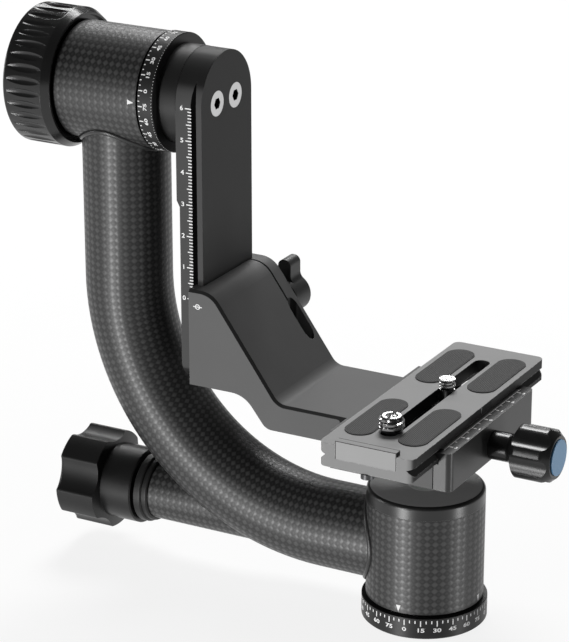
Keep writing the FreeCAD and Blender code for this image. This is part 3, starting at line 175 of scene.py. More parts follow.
# %% Finish
class Finish:
    """One node tree, of a material or a world, and the one way its nodes are made."""

    def __init__(self, name, owners=bpy.data.materials, ending="ShaderNodeOutputMaterial"):
        self.owner = owners.new(name)
        self.owner.use_nodes = True
        self.tree = self.owner.node_tree
        self.tree.nodes.clear()
        self.ending = ending
        self.place = self.node("ShaderNodeTexCoord", output="Object")

    def node(self, kind, settings=None, values=None, output=0):
        """Make a node: its settings, then the values or wires of its sockets. Give one output as a Wire."""
        made = self.tree.nodes.new(kind)
        for name, value in (settings or {}).items():
            setattr(made, name, value)
        for key, value in (values or {}).items():
            if isinstance(value, Wire):
                self.tree.links.new(value.socket, made.inputs[key])
            else:
                made.inputs[key].default_value = value
        return Wire(self, made.outputs[output])

    def math(self, operation, *values):
        """A Math node."""
        return self.node("ShaderNodeMath", {"operation": operation}, dict(enumerate(values)))

    def smooth(self, value, low, high):
        """A soft step of the value, from 0 at low to 1 at high."""
        return self.node("ShaderNodeMapRange", {"interpolation_type": "SMOOTHSTEP"},
                         {0: value, 1: low, 2: high})

    def colours(self, mask, first, second):
        """The first colour where the mask is 0 and the second where it is 1."""
        return self.node("ShaderNodeMix", {"data_type": "RGBA"}, {0: mask, 6: first, 7: second}, 2)

    def millimetres(self):
        """The object's own coordinates, as three numbers in millimetres."""
        parts = self.node("ShaderNodeSeparateXYZ", {}, {0: self.place})
        outputs = parts.socket.node.outputs
        return [Wire(self, outputs[axis]) * (1 / MM) for axis in "XYZ"]

    def noise(self, size, detail=2.0):
        """Cloudy noise from 0 to 1, whose blots are about size millimetres wide."""
        return self.node("ShaderNodeTexNoise", {},
                         {"Vector": self.place, "Scale": 1 / (size * MM), "Detail": detail})

    def facing(self, axis):
        """How much the surface looks along the object's own axis, from -1 to 1."""
        normal = self.node("ShaderNodeTexCoord", output="Normal")
        return self.node("ShaderNodeSeparateXYZ", {}, {0: normal}, axis)

    def close(self, surface):
        """End the tree with this shader."""
        made = self.tree.nodes.new(self.ending)
        self.tree.links.new(surface.socket, made.inputs["Surface"])

    def shade(self, height, depth, rounded=0.0, **sockets):
        """Close a material: a Principled shader, with a bump of height times depth in millimetres."""
        values = {name.replace("_", " "): value for name, value in sockets.items()}
        bump = {"Height": height, "Distance": depth * MM, "Strength": 1.0}
        if rounded:
            bump["Normal"] = self.node("ShaderNodeBevel", {"samples": 4}, {"Radius": rounded * MM})
        values["Normal"] = self.node("ShaderNodeBump", {}, bump)
        self.close(self.node("ShaderNodeBsdfPrincipled", {}, values))
        return self.owner


def grey(value):
    """A neutral colour."""
    return (value, value, value, 1)


print("a Finish ends in a Principled shader")

# %% [markdown]
# ## Floor and light
#
# The head stands on a plain white sheet that runs on to the horizon. Black metal and carbon are shown by
# what they mirror, so narrow soft boxes draw two bright bands on every upright tube and leave it dark
# between them. Seen from above, those tubes mirror the table, so three glows stand below it for the light
# that a glossy white table throws back, and the sheet lets them through. A wide box hangs high behind the
# head, with a thin strip below it. The world is a quiet grey, so that the black pieces keep their depth.

# %% Floor
FLOOR_RADIUS = 6.0                  # metres
PAPER_GLOW = 0.86                   # how near to white the sheet looks with no lamp on it


def mesh_of(name, bm):
    """Turn a bmesh into a mesh."""
    mesh = bpy.data.meshes.new(name)
    bm.to_mesh(mesh)
    bm.free()
    return mesh


bm = bmesh.new()
bmesh.ops.create_circle(bm, cap_ends=True, radius=FLOOR_RADIUS, segments=96)
floor = link("floor", mesh_of("floor", bm))

paper = Finish("white_paper")
tone = paper.colours(paper.noise(40.0), grey(0.78), grey(0.82))
matt = paper.node("ShaderNodeBsdfPrincipled", {}, {"Base Color": tone, "Roughness": 0.9})
glow = paper.node("ShaderNodeEmission", {}, {"Color": grey(1.0), "Strength": 1.0})
seen = paper.node("ShaderNodeLightPath", output="Is Camera Ray")
mirrored = paper.node("ShaderNodeLightPath", output="Is Glossy Ray")
through = paper.node("ShaderNodeLightPath", output="Is Transmission Ray")
share = paper.math("MINIMUM", seen + mirrored + through, 1.0) * PAPER_GLOW
paper.close(paper.node("ShaderNodeMixShader", {}, {0: share, 1: matt, 2: glow}))
floor.data.materials.append(paper.owner)
floor.visible_diffuse = False
floor.visible_shadow = False
print("floor", FLOOR_RADIUS * 2, "m across")

# %% Lamps
LAMPS = [
    # name, azimuth and elevation in degrees, distance, width and height in metres, level
    ("left_box", -68, 8, 1.7, 0.30, 0.62, 0.15),
    ("front_box", -16, 3, 1.7, 0.20, 0.50, 0.24),
    ("front_glow", -16, -20, 1.5, 0.20, 0.40, 0.62),
    ("right_glow", 92, -20, 1.5, 0.06, 0.40, 0.24),
    ("table_glow", -47, -52, 1.3, 0.4, 0.3, 0.09),
    ("top_box", 200, 54, 1.5, 0.7, 0.5, 1.08),
    ("back_strip", 212, 27, 1.6, 0.9, 0.12, 0.12),
]


def lamp(name, azimuth, elevation, distance, width, height, level):
    """A soft box that looks at the head. level 1 lights a white card facing it about as white as it is."""
    away = direction(azimuth, elevation)
    light = bpy.data.lights.new(name, "AREA")
    light.shape = "RECTANGLE"
    light.size, light.size_y = width, height
    light.energy = level * (math.pi * distance) ** 2
    made = link(name, light)
    aimed = away.to_track_quat("Z", "Y").to_matrix().to_4x4()
    made.matrix_world = Matrix.Translation(AIM + away * distance) @ aimed


for row in LAMPS:
    lamp(*row)
print(len(LAMPS), "lamps")

# %% World
studio = Finish("studio", bpy.data.worlds, "ShaderNodeOutputWorld")
quiet = studio.node("ShaderNodeBackground", {}, {"Color": grey(1.0), "Strength": 0.12})
backdrop = studio.node("ShaderNodeBackground", {}, {"Color": grey(PAPER_GLOW), "Strength": 1.0})
watched = studio.node("ShaderNodeLightPath", output="Is Camera Ray")
studio.close(studio.node("ShaderNodeMixShader", {}, {0: watched, 1: quiet, 2: backdrop}))
bpy.context.scene.world = studio.owner
bpy.context.scene.view_settings.view_transform = "Standard"
print("backdrop", PAPER_GLOW, "of white")

# %% [markdown]
# ## Woven carbon
#
# Each tube is a braided sleeve of carbon: two families of black tows that climb round the tube to the
# left and to the right, over and under each other, under a satin lacquer. An image would do, but it would
# need a seam and stretch at the bend. Two running lengths do it better: how far along the tube's axis a
# point lies, and how far round it. The difference of their cosines is a checkerboard that stands on its
# corners: 1 in the middle of a tow of one family, -1 in the other's, and 0 where they dive under.

# %% The weave
CELL_ALONG, CELL_AROUND = 2.77, 3.1     # the braid's repeat along a tube and round it, in mm
FIBRE_FINE, FIBRE_LONG = 1.6, 0.12      # how fast the fibres' streaks change across a tow and along it
PLAIN_RIM = 0.3                         # the resin at a cut edge, in mm


def carbon(name, lengths_of, radius, rim=None):
    """Carbon on a round tube. lengths_of gives, from x, y and z, how far a point lies along the tube and its
    two offsets from the axis. Where the length along passes the rim, there is no weave."""
    finish = Finish(name)
    along, out, side = lengths_of(finish, *finish.millimetres())
    columns = finish.math("ARCTAN2", side, out) * round(2 * math.pi * radius / CELL_AROUND)
    rows = along * (2 * math.pi / CELL_ALONG)
    weave = (finish.math("COSINE", rows) - finish.math("COSINE", columns)) * 0.5
    over, under = finish.smooth(weave, -0.3, 0.65), finish.smooth(weave * -1, 0.35, 0.95)

    def fibres(across, down):
        streaks = finish.node("ShaderNodeCombineXYZ", {}, {0: across, 1: down, 2: 0.0})
        return finish.node("ShaderNodeTexNoise", {}, {"Vector": streaks, "Scale": 1.0, "Detail": 2.0})

    climbing, falling = rows + columns, rows - columns
    right_fibre = fibres(climbing * FIBRE_FINE, falling * FIBRE_LONG)
    left_fibre = fibres(climbing * FIBRE_LONG, falling * FIBRE_FINE)
    # The tows' colour is painted sheen. Carbon is black all over, and its braid shows by the way its fibres
    # catch the light. So the tows of one family are painted lighter and those of the other a little lighter,
    # both streaked along their fibres, and the gaps where they dive under are painted shade.
    light = over * (0.55 + right_fibre * 0.6) + under * left_fibre * 0.45
    if rim:
        light = light * (along < rim - PLAIN_RIM)
    relief = weave * weave + weave * 0.4 + right_fibre * over * 0.2
    return finish.shade(Base_Color=finish.colours(light, grey(0.004), grey(0.054)),
                        Roughness=0.46 - over * 0.08, Specular_IOR_Level=0.45, height=relief, depth=0.03)


def upright_tube(finish, x, y, z):
    """A tube on the Z axis."""
    return z, y * -1, x


def crosswise_tube(height):
    """A tube along X, at this height."""
    def lengths(finish, x, y, z):
        return x, y * -1, z - height
    return lengths


carbon_upright = carbon("carbon_upright", upright_tube, shell_high.x, shell_high.z)
carbon_crosswise = carbon("carbon_crosswise", crosswise_tube(tilt_axis), tilt_high.y)
carbon_stub = carbon("carbon_stub", crosswise_tube((stub_low.z + stub_high.z) / 2), stub_high.y)
print("carbon for tubes of radius", shell_high.x, tilt_high.y, stub_high.y)

# %% The weave on the bend
TUBE_RADIUS = tube_high.y
TUBE_LEFT = tube_low.x + TUBE_RADIUS        # the upright run's axis
TUBE_LEVEL = tube_low.z + TUBE_RADIUS       # the level run's axis
BEND_RADIUS = 88.9
BEND_X, BEND_Z = TUBE_LEFT + BEND_RADIUS, TUBE_LEVEL + BEND_RADIUS


def bent_tube(finish, x, y, z):
    """Along the J: level from the pan housing, a quarter turn, and up to the tilt housing."""
    left = finish.math("MINIMUM", x - BEND_X, 0.0)
    below = finish.math("MINIMUM", z - BEND_Z, 0.0)
    reach = finish.math("SQRT", left * left + below * below)
    swept = finish.math("ARCTAN2", left * -1, below * -1)
    level_run = finish.math("MAXIMUM", x - BEND_X, 0.0)
    rise = finish.math("MAXIMUM", z - BEND_Z, 0.0)
    return swept * BEND_RADIUS - level_run + rise, reach - BEND_RADIUS, y


carbon_bent = carbon("carbon_bent", bent_tube, TUBE_RADIUS)
print("bend about", round(BEND_X, 1), round(BEND_Z, 1))

# %% [markdown]
# ## Anodised aluminium
#
# Almost every machined piece is blasted with fine beads and then anodised: matt, with a faint grain, a
# little lighter where edges have been handled. On the camera plate and the jaw that lighter edge is wide and
# full, a painted highlight along the edges as well as wear. The grain is two noises, one as fine as the
# beads for the bump and one as wide as a thumb for the tone. Edges are found by comparing the true normal
# with one that a Bevel node has rounded.

# %% The anodised skin
def edge_wear_and_highlight(finish, width):
    """1 along sharp edges and 0 on flat faces, broken up by noise."""
    rounded = finish.node("ShaderNodeBevel", {"samples": 4}, {"Radius": width * MM})
    true = finish.node("ShaderNodeNewGeometry", output="Normal")
    match = finish.node("ShaderNodeVectorMath", {"operation": "DOT_PRODUCT"}, {0: rounded, 1: true}, "Value")
    return finish.smooth(1 - match, 0.02, 0.2) * finish.smooth(finish.noise(1.5), 0.35, 0.65)


def anodised(name, tone, roughness=0.45, shine=0.2, wear_and_highlight=0.5, tint=(1, 1, 1), machined=None, edge=0.16):
    """Blasted and anodised skin. The shading function, if given, paints shade, highlights and dark
    reflections on faces by the way they look, and changes their roughness.
    """
    finish = Finish(name)
    cloud, grain = finish.noise(18.0, 3.0), finish.noise(0.16, 1.0)
    dark = tuple(tone * 0.88 * part for part in tint) + (1,)
    pale = tuple(tone * 1.12 * part for part in tint) + (1,)
    skin = finish.colours(cloud * 0.6 + grain * 0.4, dark, pale)
    edges = edge_wear_and_highlight(finish, edge) * wear_and_highlight
    wear_and_highlight_tone = tuple(min(1, tone * 1.6 + 0.08) * part for part in tint) + (1,)
    rough = roughness + cloud * 0.08 - edges * 0.1
    if machined:
        skin, rough = machined(finish, skin, rough)
    return finish.shade(Base_Color=finish.colours(edges, skin, wear_and_highlight_tone), Specular_IOR_Level=shine,
                        Roughness=rough, height=grain, depth=0.006, rounded=0.25)


knob_black = anodised("anodised_knob_black", 0.005, shine=0.3, roughness=0.27, wear_and_highlight=0.3)
black_skin = anodised("anodised_black", 0.012, shine=0.25, roughness=0.36)
satin_black = anodised("satin_black_knob", 0.006, shine=0.5, roughness=0.17, wear_and_highlight=0.3)
cup_skin = anodised("level_cup", 0.75, shine=0.5, roughness=0.3)
wing_skin = anodised("anodised_wing", 0.03, shine=0.4, roughness=0.4)
blue_skin = anodised("anodised_blue", 0.75, roughness=0.3, shine=0.5, tint=(0.20, 0.50, 0.86))
print("plain skins:", knob_black.name, black_skin.name, satin_black.name, wing_skin.name, blue_skin.name)

# %% [markdown]
# On some pieces light and shade are painted face by face: slanted faces are painted black, a painted dark
# reflection; the camera plate's sides are painted darker, as painted shade; its long channel and the line
# round its end stop are painted black, as painted shadow; and the pan cap's pale flat face is painted light.
# The masks come from the way a face looks: straight along an axis, or leaning from it. A few also need a
# place, such as the long channel in the camera plate.

# %% Light and shade painted on faces
BLACK = grey(0.006)


def flat(finish, lean):
    """1 where a face looks almost straight along the axis that lean was measured on."""
    return finish.smooth(lean, 0.86, 0.96)


def slanted(finish, axis):
    """1 on faces that lean from the axis, and 0 on those square to it or in line with it."""
    lean = abs(finish.facing(axis))
    return finish.smooth(lean, 0.2, 0.35) * (1 - flat(finish, lean))


def painted_dark_slants(axis):
    """Faces that lean from the axis are painted black: a painted dark reflection."""
    def cut(finish, skin, rough):
        return finish.colours(slanted(finish, axis) * 0.85, skin, BLACK), rough
    return cut


def faced(axis):
    """Only the flat face keeps the skin's tone. Its rounding and its side are black and smoother."""
    def cut(finish, skin, rough):
        bright = finish.smooth(abs(finish.facing(axis)), 0.95, 0.99)
        return finish.colours(bright, grey(0.007), skin), rough - (1 - bright) * 0.08
    return cut


rail_skin = anodised("anodised_rail", 0.066, shine=0.08, machined=painted_dark_slants("Y"))
dark_grey_skin = anodised("anodised_dark_grey", 0.12, shine=0.08, machined=painted_dark_slants("Y"))
# The pan cap's flat face is given a pale tone, far lighter than its own dark grey: painted light, for light
# that the clamp above keeps off it.
cap_skin = anodised("anodised_cap_grey", 0.42, roughness=0.36, shine=0.5, machined=faced("Z"))
knob_cap_skin = anodised("anodised_knob_cap", 0.10, roughness=0.36, shine=0.5, machined=faced("X"))
print("cut skins:", rail_skin.name, dark_grey_skin.name, cap_skin.name, knob_cap_skin.name)

# %% The plate, its end stop and the jaw
CHANNEL_X, CHANNEL_Y = 3.2, 1.0             # the middle of the plate's long channel
CHANNEL_HALF_WIDTH, CHANNEL_HALF_LENGTH = 3.45, 43.5
STOP_SHADOW_LINE = 0.3                          # the dark line round the end stop
JAW_LINE_X = 23.0                           # the line on the jaw that its scale stands on
STRIP_HALF_LENGTH = 33.0                    # the pale strip between that line and the plate


def plate_painted_shade(finish, skin, rough):
    """The top, the front and the back are pale grey. The sides are painted much darker, as painted shade;
    slanted faces are painted black, a painted dark reflection; and the inside of the long channel is painted
    black, as painted shadow.
    """
    x, y, z = finish.millimetres()
    level = flat(finish, abs(finish.facing("Z")))
    sideways = finish.smooth(abs(finish.facing("X")), 0.5, 0.9)
    skin = finish.colours(level, finish.colours(sideways, grey(0.26), grey(0.030)), skin)
    channel = (abs(x - CHANNEL_X) < CHANNEL_HALF_WIDTH) * (abs(y - CHANNEL_Y) < CHANNEL_HALF_LENGTH)
    inside = channel * (z < plate_high.z - 0.15) * (z > plate_low.z + 0.2)
    return finish.colours(finish.math("MAXIMUM", slanted(finish, "Z"), inside) * 0.8, skin, BLACK), rough


def stop_painted_shade(finish, skin, rough):
    """The block stands a little proud of the plate. The dark line round it is painted shadow, and its front
    and sides are painted paler than its top, as painted light.
    """
    x, y, z = finish.millimetres()
    middle, half = (stop_low.x + stop_high.x) / 2, (stop_high.x - stop_low.x) / 2
    level = flat(finish, finish.facing("Z"))
    outline = finish.math("MAXIMUM", abs(x - middle) > half - STOP_SHADOW_LINE, z > stop_high.z - STOP_SHADOW_LINE)
    skin = finish.colours(level, skin, grey(0.25))
    shadow_line = finish.math("MAXIMUM", outline * (1 - level), y > stop_high.y - 0.4)
    return finish.colours(shadow_line * 0.9, skin, grey(0.01)), rough


def jaw_faces(finish, skin, rough):
    """The jaw's top is almost black, apart from a pale strip beside the plate. Its slanted faces are painted
    black, a painted dark reflection.
    """
    x, y, z = finish.millimetres()
    level = flat(finish, finish.facing("Z"))
    strip = (x < JAW_LINE_X) * (abs(y) < STRIP_HALF_LENGTH)
    skin = finish.colours(level, skin, grey(0.018))
    skin = finish.colours(level * strip, skin, grey(0.24))
    return finish.colours(slanted(finish, "Z") * 0.85, skin, BLACK), rough


# The plate's and the jaw's edge bands are wide and full: a painted highlight along their edges, as well as
# wear.
plate_skin = anodised("anodised_plate_grey", 0.25, roughness=0.5, shine=0.15, wear_and_highlight=1.0, machined=plate_painted_shade,
                      edge=0.6)
stop_skin = anodised("anodised_end_stop", 0.36, roughness=0.5, shine=0.15, machined=stop_painted_shade)
jaw_skin = anodised("anodised_jaw", 0.035, shine=0.3, roughness=0.32, wear_and_highlight=1.0, machined=jaw_faces, edge=0.5)
print("clamp skins:", plate_skin.name, stop_skin.name, jaw_skin.name)

# %% [markdown]
# ## Steel, brass, gloss, rubber and glass
#
# Turned metal shows the rings that the tool left. A noise that is drawn out across the Z axis, and is fine
# along it, makes layers as thin as those rings. The clamp knob is lacquered a deep gloss black. The four
# pads are rubber with slanting ribs a little over half a millimetre apart, and the level's vial is clear
# glass.

# %% Turned metal
TOOL_MARK = 0.25                    # mm from one ring to the next
RAIL_SOCKET_SHADE_X = -86.4              # left of this lies the inside of the rail screws' sockets


def turned(name, tint, roughness=0.22, shaded_socket_below=None):
    """Turned metal. Where x is less than the given limit, in mm, the inside of a socket is painted dark, as
    painted shade.
    """
    finish = Finish(name)
    cloud, grain = finish.noise(6.0, 2.0), finish.noise(0.3, 1.0)
    layers = finish.node("ShaderNodeMapping", {}, {"Vector": finish.place, "Scale": (0.05, 0.05, 1.0)})
    rings = finish.node("ShaderNodeTexNoise", {},
                        {"Vector": layers, "Scale": 1 / (TOOL_MARK * MM), "Detail": 2.0})
    dulled = tuple(0.82 * part for part in tint) + (1,)
    colour = finish.colours(cloud * 0.7 + rings * 0.3, dulled, tint + (1,))
    if shaded_socket_below:
        # The inside of the sockets is painted dark: painted shade.
        x, y, z = finish.millimetres()
        colour = finish.colours(x < shaded_socket_below, colour, grey(0.012))
    return finish.shade(Base_Color=colour, Metallic=1.0, Roughness=roughness + rings * 0.14,
                        height=rings + grain * 0.4, depth=0.006, rounded=0.12)


steel = turned("turned_steel", (0.66, 0.66, 0.67))
bright_steel = turned("bright_steel", (0.62, 0.62, 0.62), roughness=0.18)
socketed_steel = turned("socketed_steel", (0.62, 0.62, 0.62), roughness=0.26, shaded_socket_below=RAIL_SOCKET_SHADE_X)
bright_alloy = turned("bright_aluminium", (0.78, 0.78, 0.79), roughness=0.30)
brass = turned("brass", (0.72, 0.55, 0.28), roughness=0.28)
dark_steel = turned("blackened_steel", (0.07, 0.07, 0.072), roughness=0.34)
print("turned metals:", steel.name, bright_steel.name, bright_alloy.name, brass.name, dark_steel.name)

# %% Gloss black, rubber and glass
gloss = Finish("gloss_black")
ripple = gloss.noise(9.0, 1.0)
gloss_black = gloss.shade(Base_Color=gloss.colours(gloss.noise(3.0), BLACK, grey(0.011)),
                          Roughness=0.20 + ripple * 0.08, Specular_IOR_Level=0.3,
                          height=ripple, depth=0.02, rounded=0.3)

RIB = 0.62                          # mm from one rib to the next
RIB_STEP = RIB * math.sqrt(2)       # the same, along x or along y
pad = Finish("grip_rubber")
x, y, z = pad.millimetres()
ribs = pad.math("SINE", (x + y) * (2 * math.pi / RIB_STEP))
on_top = pad.smooth(pad.facing("Z"), 0.8, 0.95)
# The rib crests on the top are painted lighter than the grooves between them: painted highlight and painted
# shade.
rubber = pad.colours(pad.smooth(ribs, -0.4, 0.8) * on_top, grey(0.004), grey(0.038))
pad_rubber = pad.shade(Base_Color=rubber, Roughness=0.62 + pad.noise(0.5) * 0.15,
                       height=ribs * on_top, depth=0.03)

vial = Finish("vial_glass")
tinted = vial.colours(vial.noise(4.0), (0.86, 0.93, 0.88, 1), (0.93, 0.98, 0.94, 1))
vial_glass = vial.shade(Base_Color=tinted, Roughness=0.06 + vial.noise(2.0) * 0.03,
                        height=vial.noise(3.0), depth=0.002, Coat_Weight=0.5)
print("others:", gloss_black.name, pad_rubber.name, vial_glass.name)

# %% [markdown]
# ## Dressing the solids
#
# Every solid keeps its shape and gets one finish in its own material slot. The list goes by the pieces'
# names and says what each one is made of, as a parts list would.

# %% Materials on the solids
DRESS = {
    carbon_upright: ["pan_shell"],
    carbon_crosswise: ["tilt_shell"],
    carbon_bent: ["arm_tube"],
    carbon_stub: ["lock_stub"],
    black_skin: ["base_plate", "stub_collar", "tilt_shaft", "tilt_dial_ring"],
    knob_black: ["pan_knob"],
    wing_skin: ["height_knob"],
    satin_black: ["tilt_knob"],
    cap_skin: ["pan_cap"],
    knob_cap_skin: ["tilt_knob_cap"],
    dark_grey_skin: ["cradle_bracket"],
    rail_skin: ["rail"],
    jaw_skin: ["clamp_jaw"],
    plate_skin: ["camera_plate"],
    stop_skin: ["plate_end_stop"],
    blue_skin: ["clamp_knob_cap"],
    gloss_black: ["clamp_knob"],
    pad_rubber: ["plate_pads"],
    vial_glass: ["level_vial"],
    cup_skin: ["level_cup"],
    bright_alloy: ["pan_spindle", "lower_spacer", "pan_sleeve", "tilt_sleeve"],
    bright_steel: ["large_camera_screw", "small_camera_screw"],
    socketed_steel: ["rail_screws"],
    steel: ["tripod_thread_bush", "brake_drum", "spindle_nut", "pan_inner_races", "pan_outer_races",
            "tilt_inner_races", "tilt_outer_races", "pan_lock_screw", "brake_rod", "tilt_brake_disc",
            "jaw_guide_pins", "height_screw", "clamp_screw", "large_screw_washer", "small_screw_washer"],
    brass: ["brake_shoe", "tilt_pressure_ring", "tilt_knob_insert"],
    dark_steel: ["base_screws", "plate_stop_screws"],
}
for material, pieces in DRESS.items():
    for piece in pieces:
        nodes[piece].data.materials.clear()
        nodes[piece].data.materials.append(material)
bare = sorted(set(nodes) - {piece for pieces in DRESS.values() for piece in pieces})
print("solids with no finish:", bare)

# %% [markdown]
# ## Printed marks
#
# The dials and scales are engraved and filled with white paint. Each is drawn flat first, as a sheet with
# u to the right, v up and a hair of thickness, and then laid on its surface: a flat face needs only a
# matrix, and a round ring bends the sheet about its axis. Ticks start as cubes, and the numerals as text
# that is made a mesh before it is placed.

# %% Drawing flat marks
INK = 0.03                          # how far the paint stands proud, and how deep it reaches, in mm
TICK_WIDTH = 0.42
FONT_SIZE = 1.38                    # a font's size over the height of its figures
FONT_WEIGHT = 0.035                 # how far the figures' outlines are moved out, over their height


def tick(bm, u, v, width, height):
    """A short bar, centred at u, v."""
    size = Matrix.Diagonal((width, height, 2 * INK, 1))
    bmesh.ops.create_cube(bm, size=1, matrix=Matrix.Translation((u, v, 0)) @ size)


def numeral(bm, words, u, v, height, wide):
    """Figures of a given height, centred at u, v. wide draws them out sideways."""
    curve = bpy.data.curves.new("figures", "FONT")
    curve.body = words
    curve.align_x, curve.align_y = "CENTER", "CENTER"
    curve.size = height * FONT_SIZE
    curve.extrude = INK
    curve.offset = height * FONT_WEIGHT
    curve.resolution_u = 3
    holder = bpy.data.objects.new("figures", curve)
    mesh = bpy.data.meshes.new_from_object(holder)
    mesh.transform(Matrix.Translation((u, v, 0)) @ Matrix.Diagonal((wide, 1, 1, 1)))
    bm.from_mesh(mesh)
    bpy.data.objects.remove(holder)
    bpy.data.meshes.remove(mesh)


print("paint is", 2 * INK, "mm thick")

# %% Laying them on
white = Finish("white_paint")
paint = white.shade(Base_Color=white.colours(white.noise(0.8), grey(0.80), grey(0.88)),
                    Roughness=0.5 + white.noise(0.4) * 0.1, height=white.noise(0.2), depth=0.004)


def lay(name, bm, place_of, body, finish=paint):
    """Lay a flat drawing on its surface with place_of(u, v, height), in millimetres, and let it ride."""
    for vert in bm.verts:
        vert.co = Vector(place_of(*vert.co)) * MM
    piece = link(name, mesh_of(name, bm))
    piece.data.materials.append(finish)
    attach(piece, body)
    print(name, len(piece.data.polygons), "faces")


print("marks are painted with", paint.name)

# %% [markdown]
# ## The pan dial
#
# The base ring carries four quarters of a circle, each numbered from 0 to 75 in steps of 15, with a short
# tick every 5 degrees. The ticks hang from the ring's upper edge and the figures stand below them.

# %% Pan dial
RING_RADIUS = ring_high.x
PAN_ZERO = 7.6                      # degrees from straight ahead to a zero
FIGURES_WIDE = 1.45                 # how far the dials' figures are drawn out sideways


def on_upright(radius):
    """Bend a drawing round the pan axis: u runs to the right as seen from outside."""
    def place(u, v, height):
        angle = u / radius
        return (radius + height) * math.sin(angle), -(radius + height) * math.cos(angle), v
    return place


def degree_marks(bm, radius, zero, ticks_end, long, short, figures_at, height):
    """A full circle of ticks that hang from ticks_end, every third one long and numbered."""
    for step in range(72):
        around = math.radians(zero + step * 5) * radius
        numbered = step % 3 == 0
        length = long if numbered else short
        tick(bm, around, ticks_end - length / 2, TICK_WIDTH, length)
        if numbered:
            numeral(bm, str(step % 18 * 5), around, figures_at, height, FIGURES_WIDE)


bm = bmesh.new()
degree_marks(bm, RING_RADIUS, PAN_ZERO, ticks_end=ring_high.z - 0.75, long=2.3, short=1.2,
             figures_at=ring_high.z - 4.75, height=1.65)
lay("pan_dial_marks", bm, on_upright(RING_RADIUS), "base")

# %% Pan pointers
SHELL_RADIUS = shell_high.x
POINTER_WIDTH, POINTER_HEIGHT = 1.9, 2.7


def pointer(bm, u, v, width, height):
    """A small triangle that points down, with its middle at u, v."""
    size = Matrix.Diagonal((width / math.sqrt(3), height / 1.5, 1, 1)) @ Matrix.Rotation(math.pi, 4, "Z")
    bmesh.ops.create_cone(bm, cap_ends=True, segments=3, radius1=1, radius2=1, depth=2 * INK,
                          matrix=Matrix.Translation((u, v + height / 6, 0)) @ size)


bm = bmesh.new()
for angle in (0, math.pi / 2):
    pointer(bm, angle * SHELL_RADIUS, shell_low.z + 1.7, POINTER_WIDTH, POINTER_HEIGHT)
lay("pan_pointers", bm, on_upright(SHELL_RADIUS), "yoke")

# %% [markdown]
# ## The tilt dial
#
# The same figures run round the ring behind the rail, turned a quarter so that they read upwards. Here u
# climbs the ring from the front and v points to the left, back towards the tilt knob. The ring's other edge
# has a fine dot every 3 degrees.

# %% Tilt dial
DIAL_RADIUS = dial_high.y
DIAL_WIDTH = dial_high.x - dial_low.x
TILT_ZERO = 14.0                    # degrees from the front to a zero
POINTER_ANGLE = 1.2                 # the same, to the pointer


def on_crosswise(radius, middle):
    """Bend a drawing round the tilt axis: u climbs from the front, and v points left from x = middle."""
    def place(u, v, height):
        angle = u / radius
        return (middle - v, -(radius + height) * math.cos(angle),
                tilt_axis + (radius + height) * math.sin(angle))
    return place


bm = bmesh.new()
degree_marks(bm, DIAL_RADIUS, TILT_ZERO, ticks_end=-0.25, long=1.7, short=0.6, figures_at=-3.3, height=1.45)
for step in range(120):
    tick(bm, math.radians(step * 3) * DIAL_RADIUS, 0.35 - DIAL_WIDTH, 0.25, 0.22)
lay("tilt_dial_marks", bm, on_crosswise(DIAL_RADIUS, dial_low.x), "tilt_arm")

bm = bmesh.new()
pointer(bm, math.radians(POINTER_ANGLE) * tilt_high.y, 2.2, POINTER_WIDTH, POINTER_HEIGHT)
lay("tilt_pointer", bm, on_crosswise(tilt_high.y, tilt_high.x), "yoke")

# %% [markdown]
# ## The height scale, the index and the clamp's scale
#
# The rail's front side has a scale of six steps with ten ticks each, which the index on the bracket reads.
# The jaw's top is marked in centimetres from the middle, and the plate has a pointer to read against it.

# %% Height scale
SCALE_ZERO, SCALE_PITCH = 118.5, 12.48      # the zero's height, and from one figure to the next
TICKS_RIGHT, FIGURES_X = -90.3, -94.4
bm = bmesh.new()
for step in range(61):
    numbered = step % 10 == 0
    length = 2.6 if numbered else 2.2 if step % 5 == 0 else 1.5
    height = SCALE_ZERO + step * SCALE_PITCH / 10
    tick(bm, TICKS_RIGHT - length / 2, height, length, TICK_WIDTH)
    if numbered:
        numeral(bm, str(step // 10), FIGURES_X, height, 1.8, 1.15)
lay("rail_scale", bm, lambda u, v, height: (u, rail_front - height, v), "tilt_arm")

# %% Index on the bracket
INDEX_X, INDEX_Z, CHEEK_SIDE = -85.3, 118.2, 24.5
INDEX_LINE = 0.36


def edges_of(verts):
    """Every edge that meets one of these corners."""
    return list({edge for vert in verts for edge in vert.link_edges})


def hoop(bm, u, v, radius, width):
    """A flat ring: one square section, spun once round."""
    corner = width * math.sqrt(0.5)
    stood_up = Matrix.Rotation(math.pi / 2, 4, "X") @ Matrix.Rotation(math.pi / 4, 4, "Z")
    flattened = Matrix.Diagonal((1, 1, INK * 1.4 / corner, 1)) @ stood_up
    section = bmesh.ops.create_circle(bm, cap_ends=False, radius=corner, segments=4,
                                      matrix=Matrix.Translation((u + radius, v, 0)) @ flattened)["verts"]
    bmesh.ops.spin(bm, geom=section + edges_of(section), cent=(u, v, 0), axis=(0, 0, 1),
                   angle=2 * math.pi, steps=24, use_merge=True)


bm = bmesh.new()
tick(bm, INDEX_X, INDEX_Z, 3.8, INDEX_LINE)
hoop(bm, INDEX_X, INDEX_Z, 0.9, INDEX_LINE)
lay("bracket_index", bm, lambda u, v, height: (u, -CHEEK_SIDE - height, v), "cradle")

# %% Scale on the jaw
bm = bmesh.new()
for step in range(-6, 7):
    numbered = step % 2 == 0
    length = 1.7 if numbered else 0.9
    tick(bm, JAW_LINE_X + 0.1 + length / 2, step * 5, length, 0.35)
    if numbered:
        numeral(bm, str(abs(step) // 2), JAW_LINE_X + 3.0, step * 5, 1.35, 1.3)
tick(bm, JAW_LINE_X, 0, 0.16, 68)
lay("jaw_scale", bm, lambda u, v, height: (u, v, jaw_top + height), "jaw")

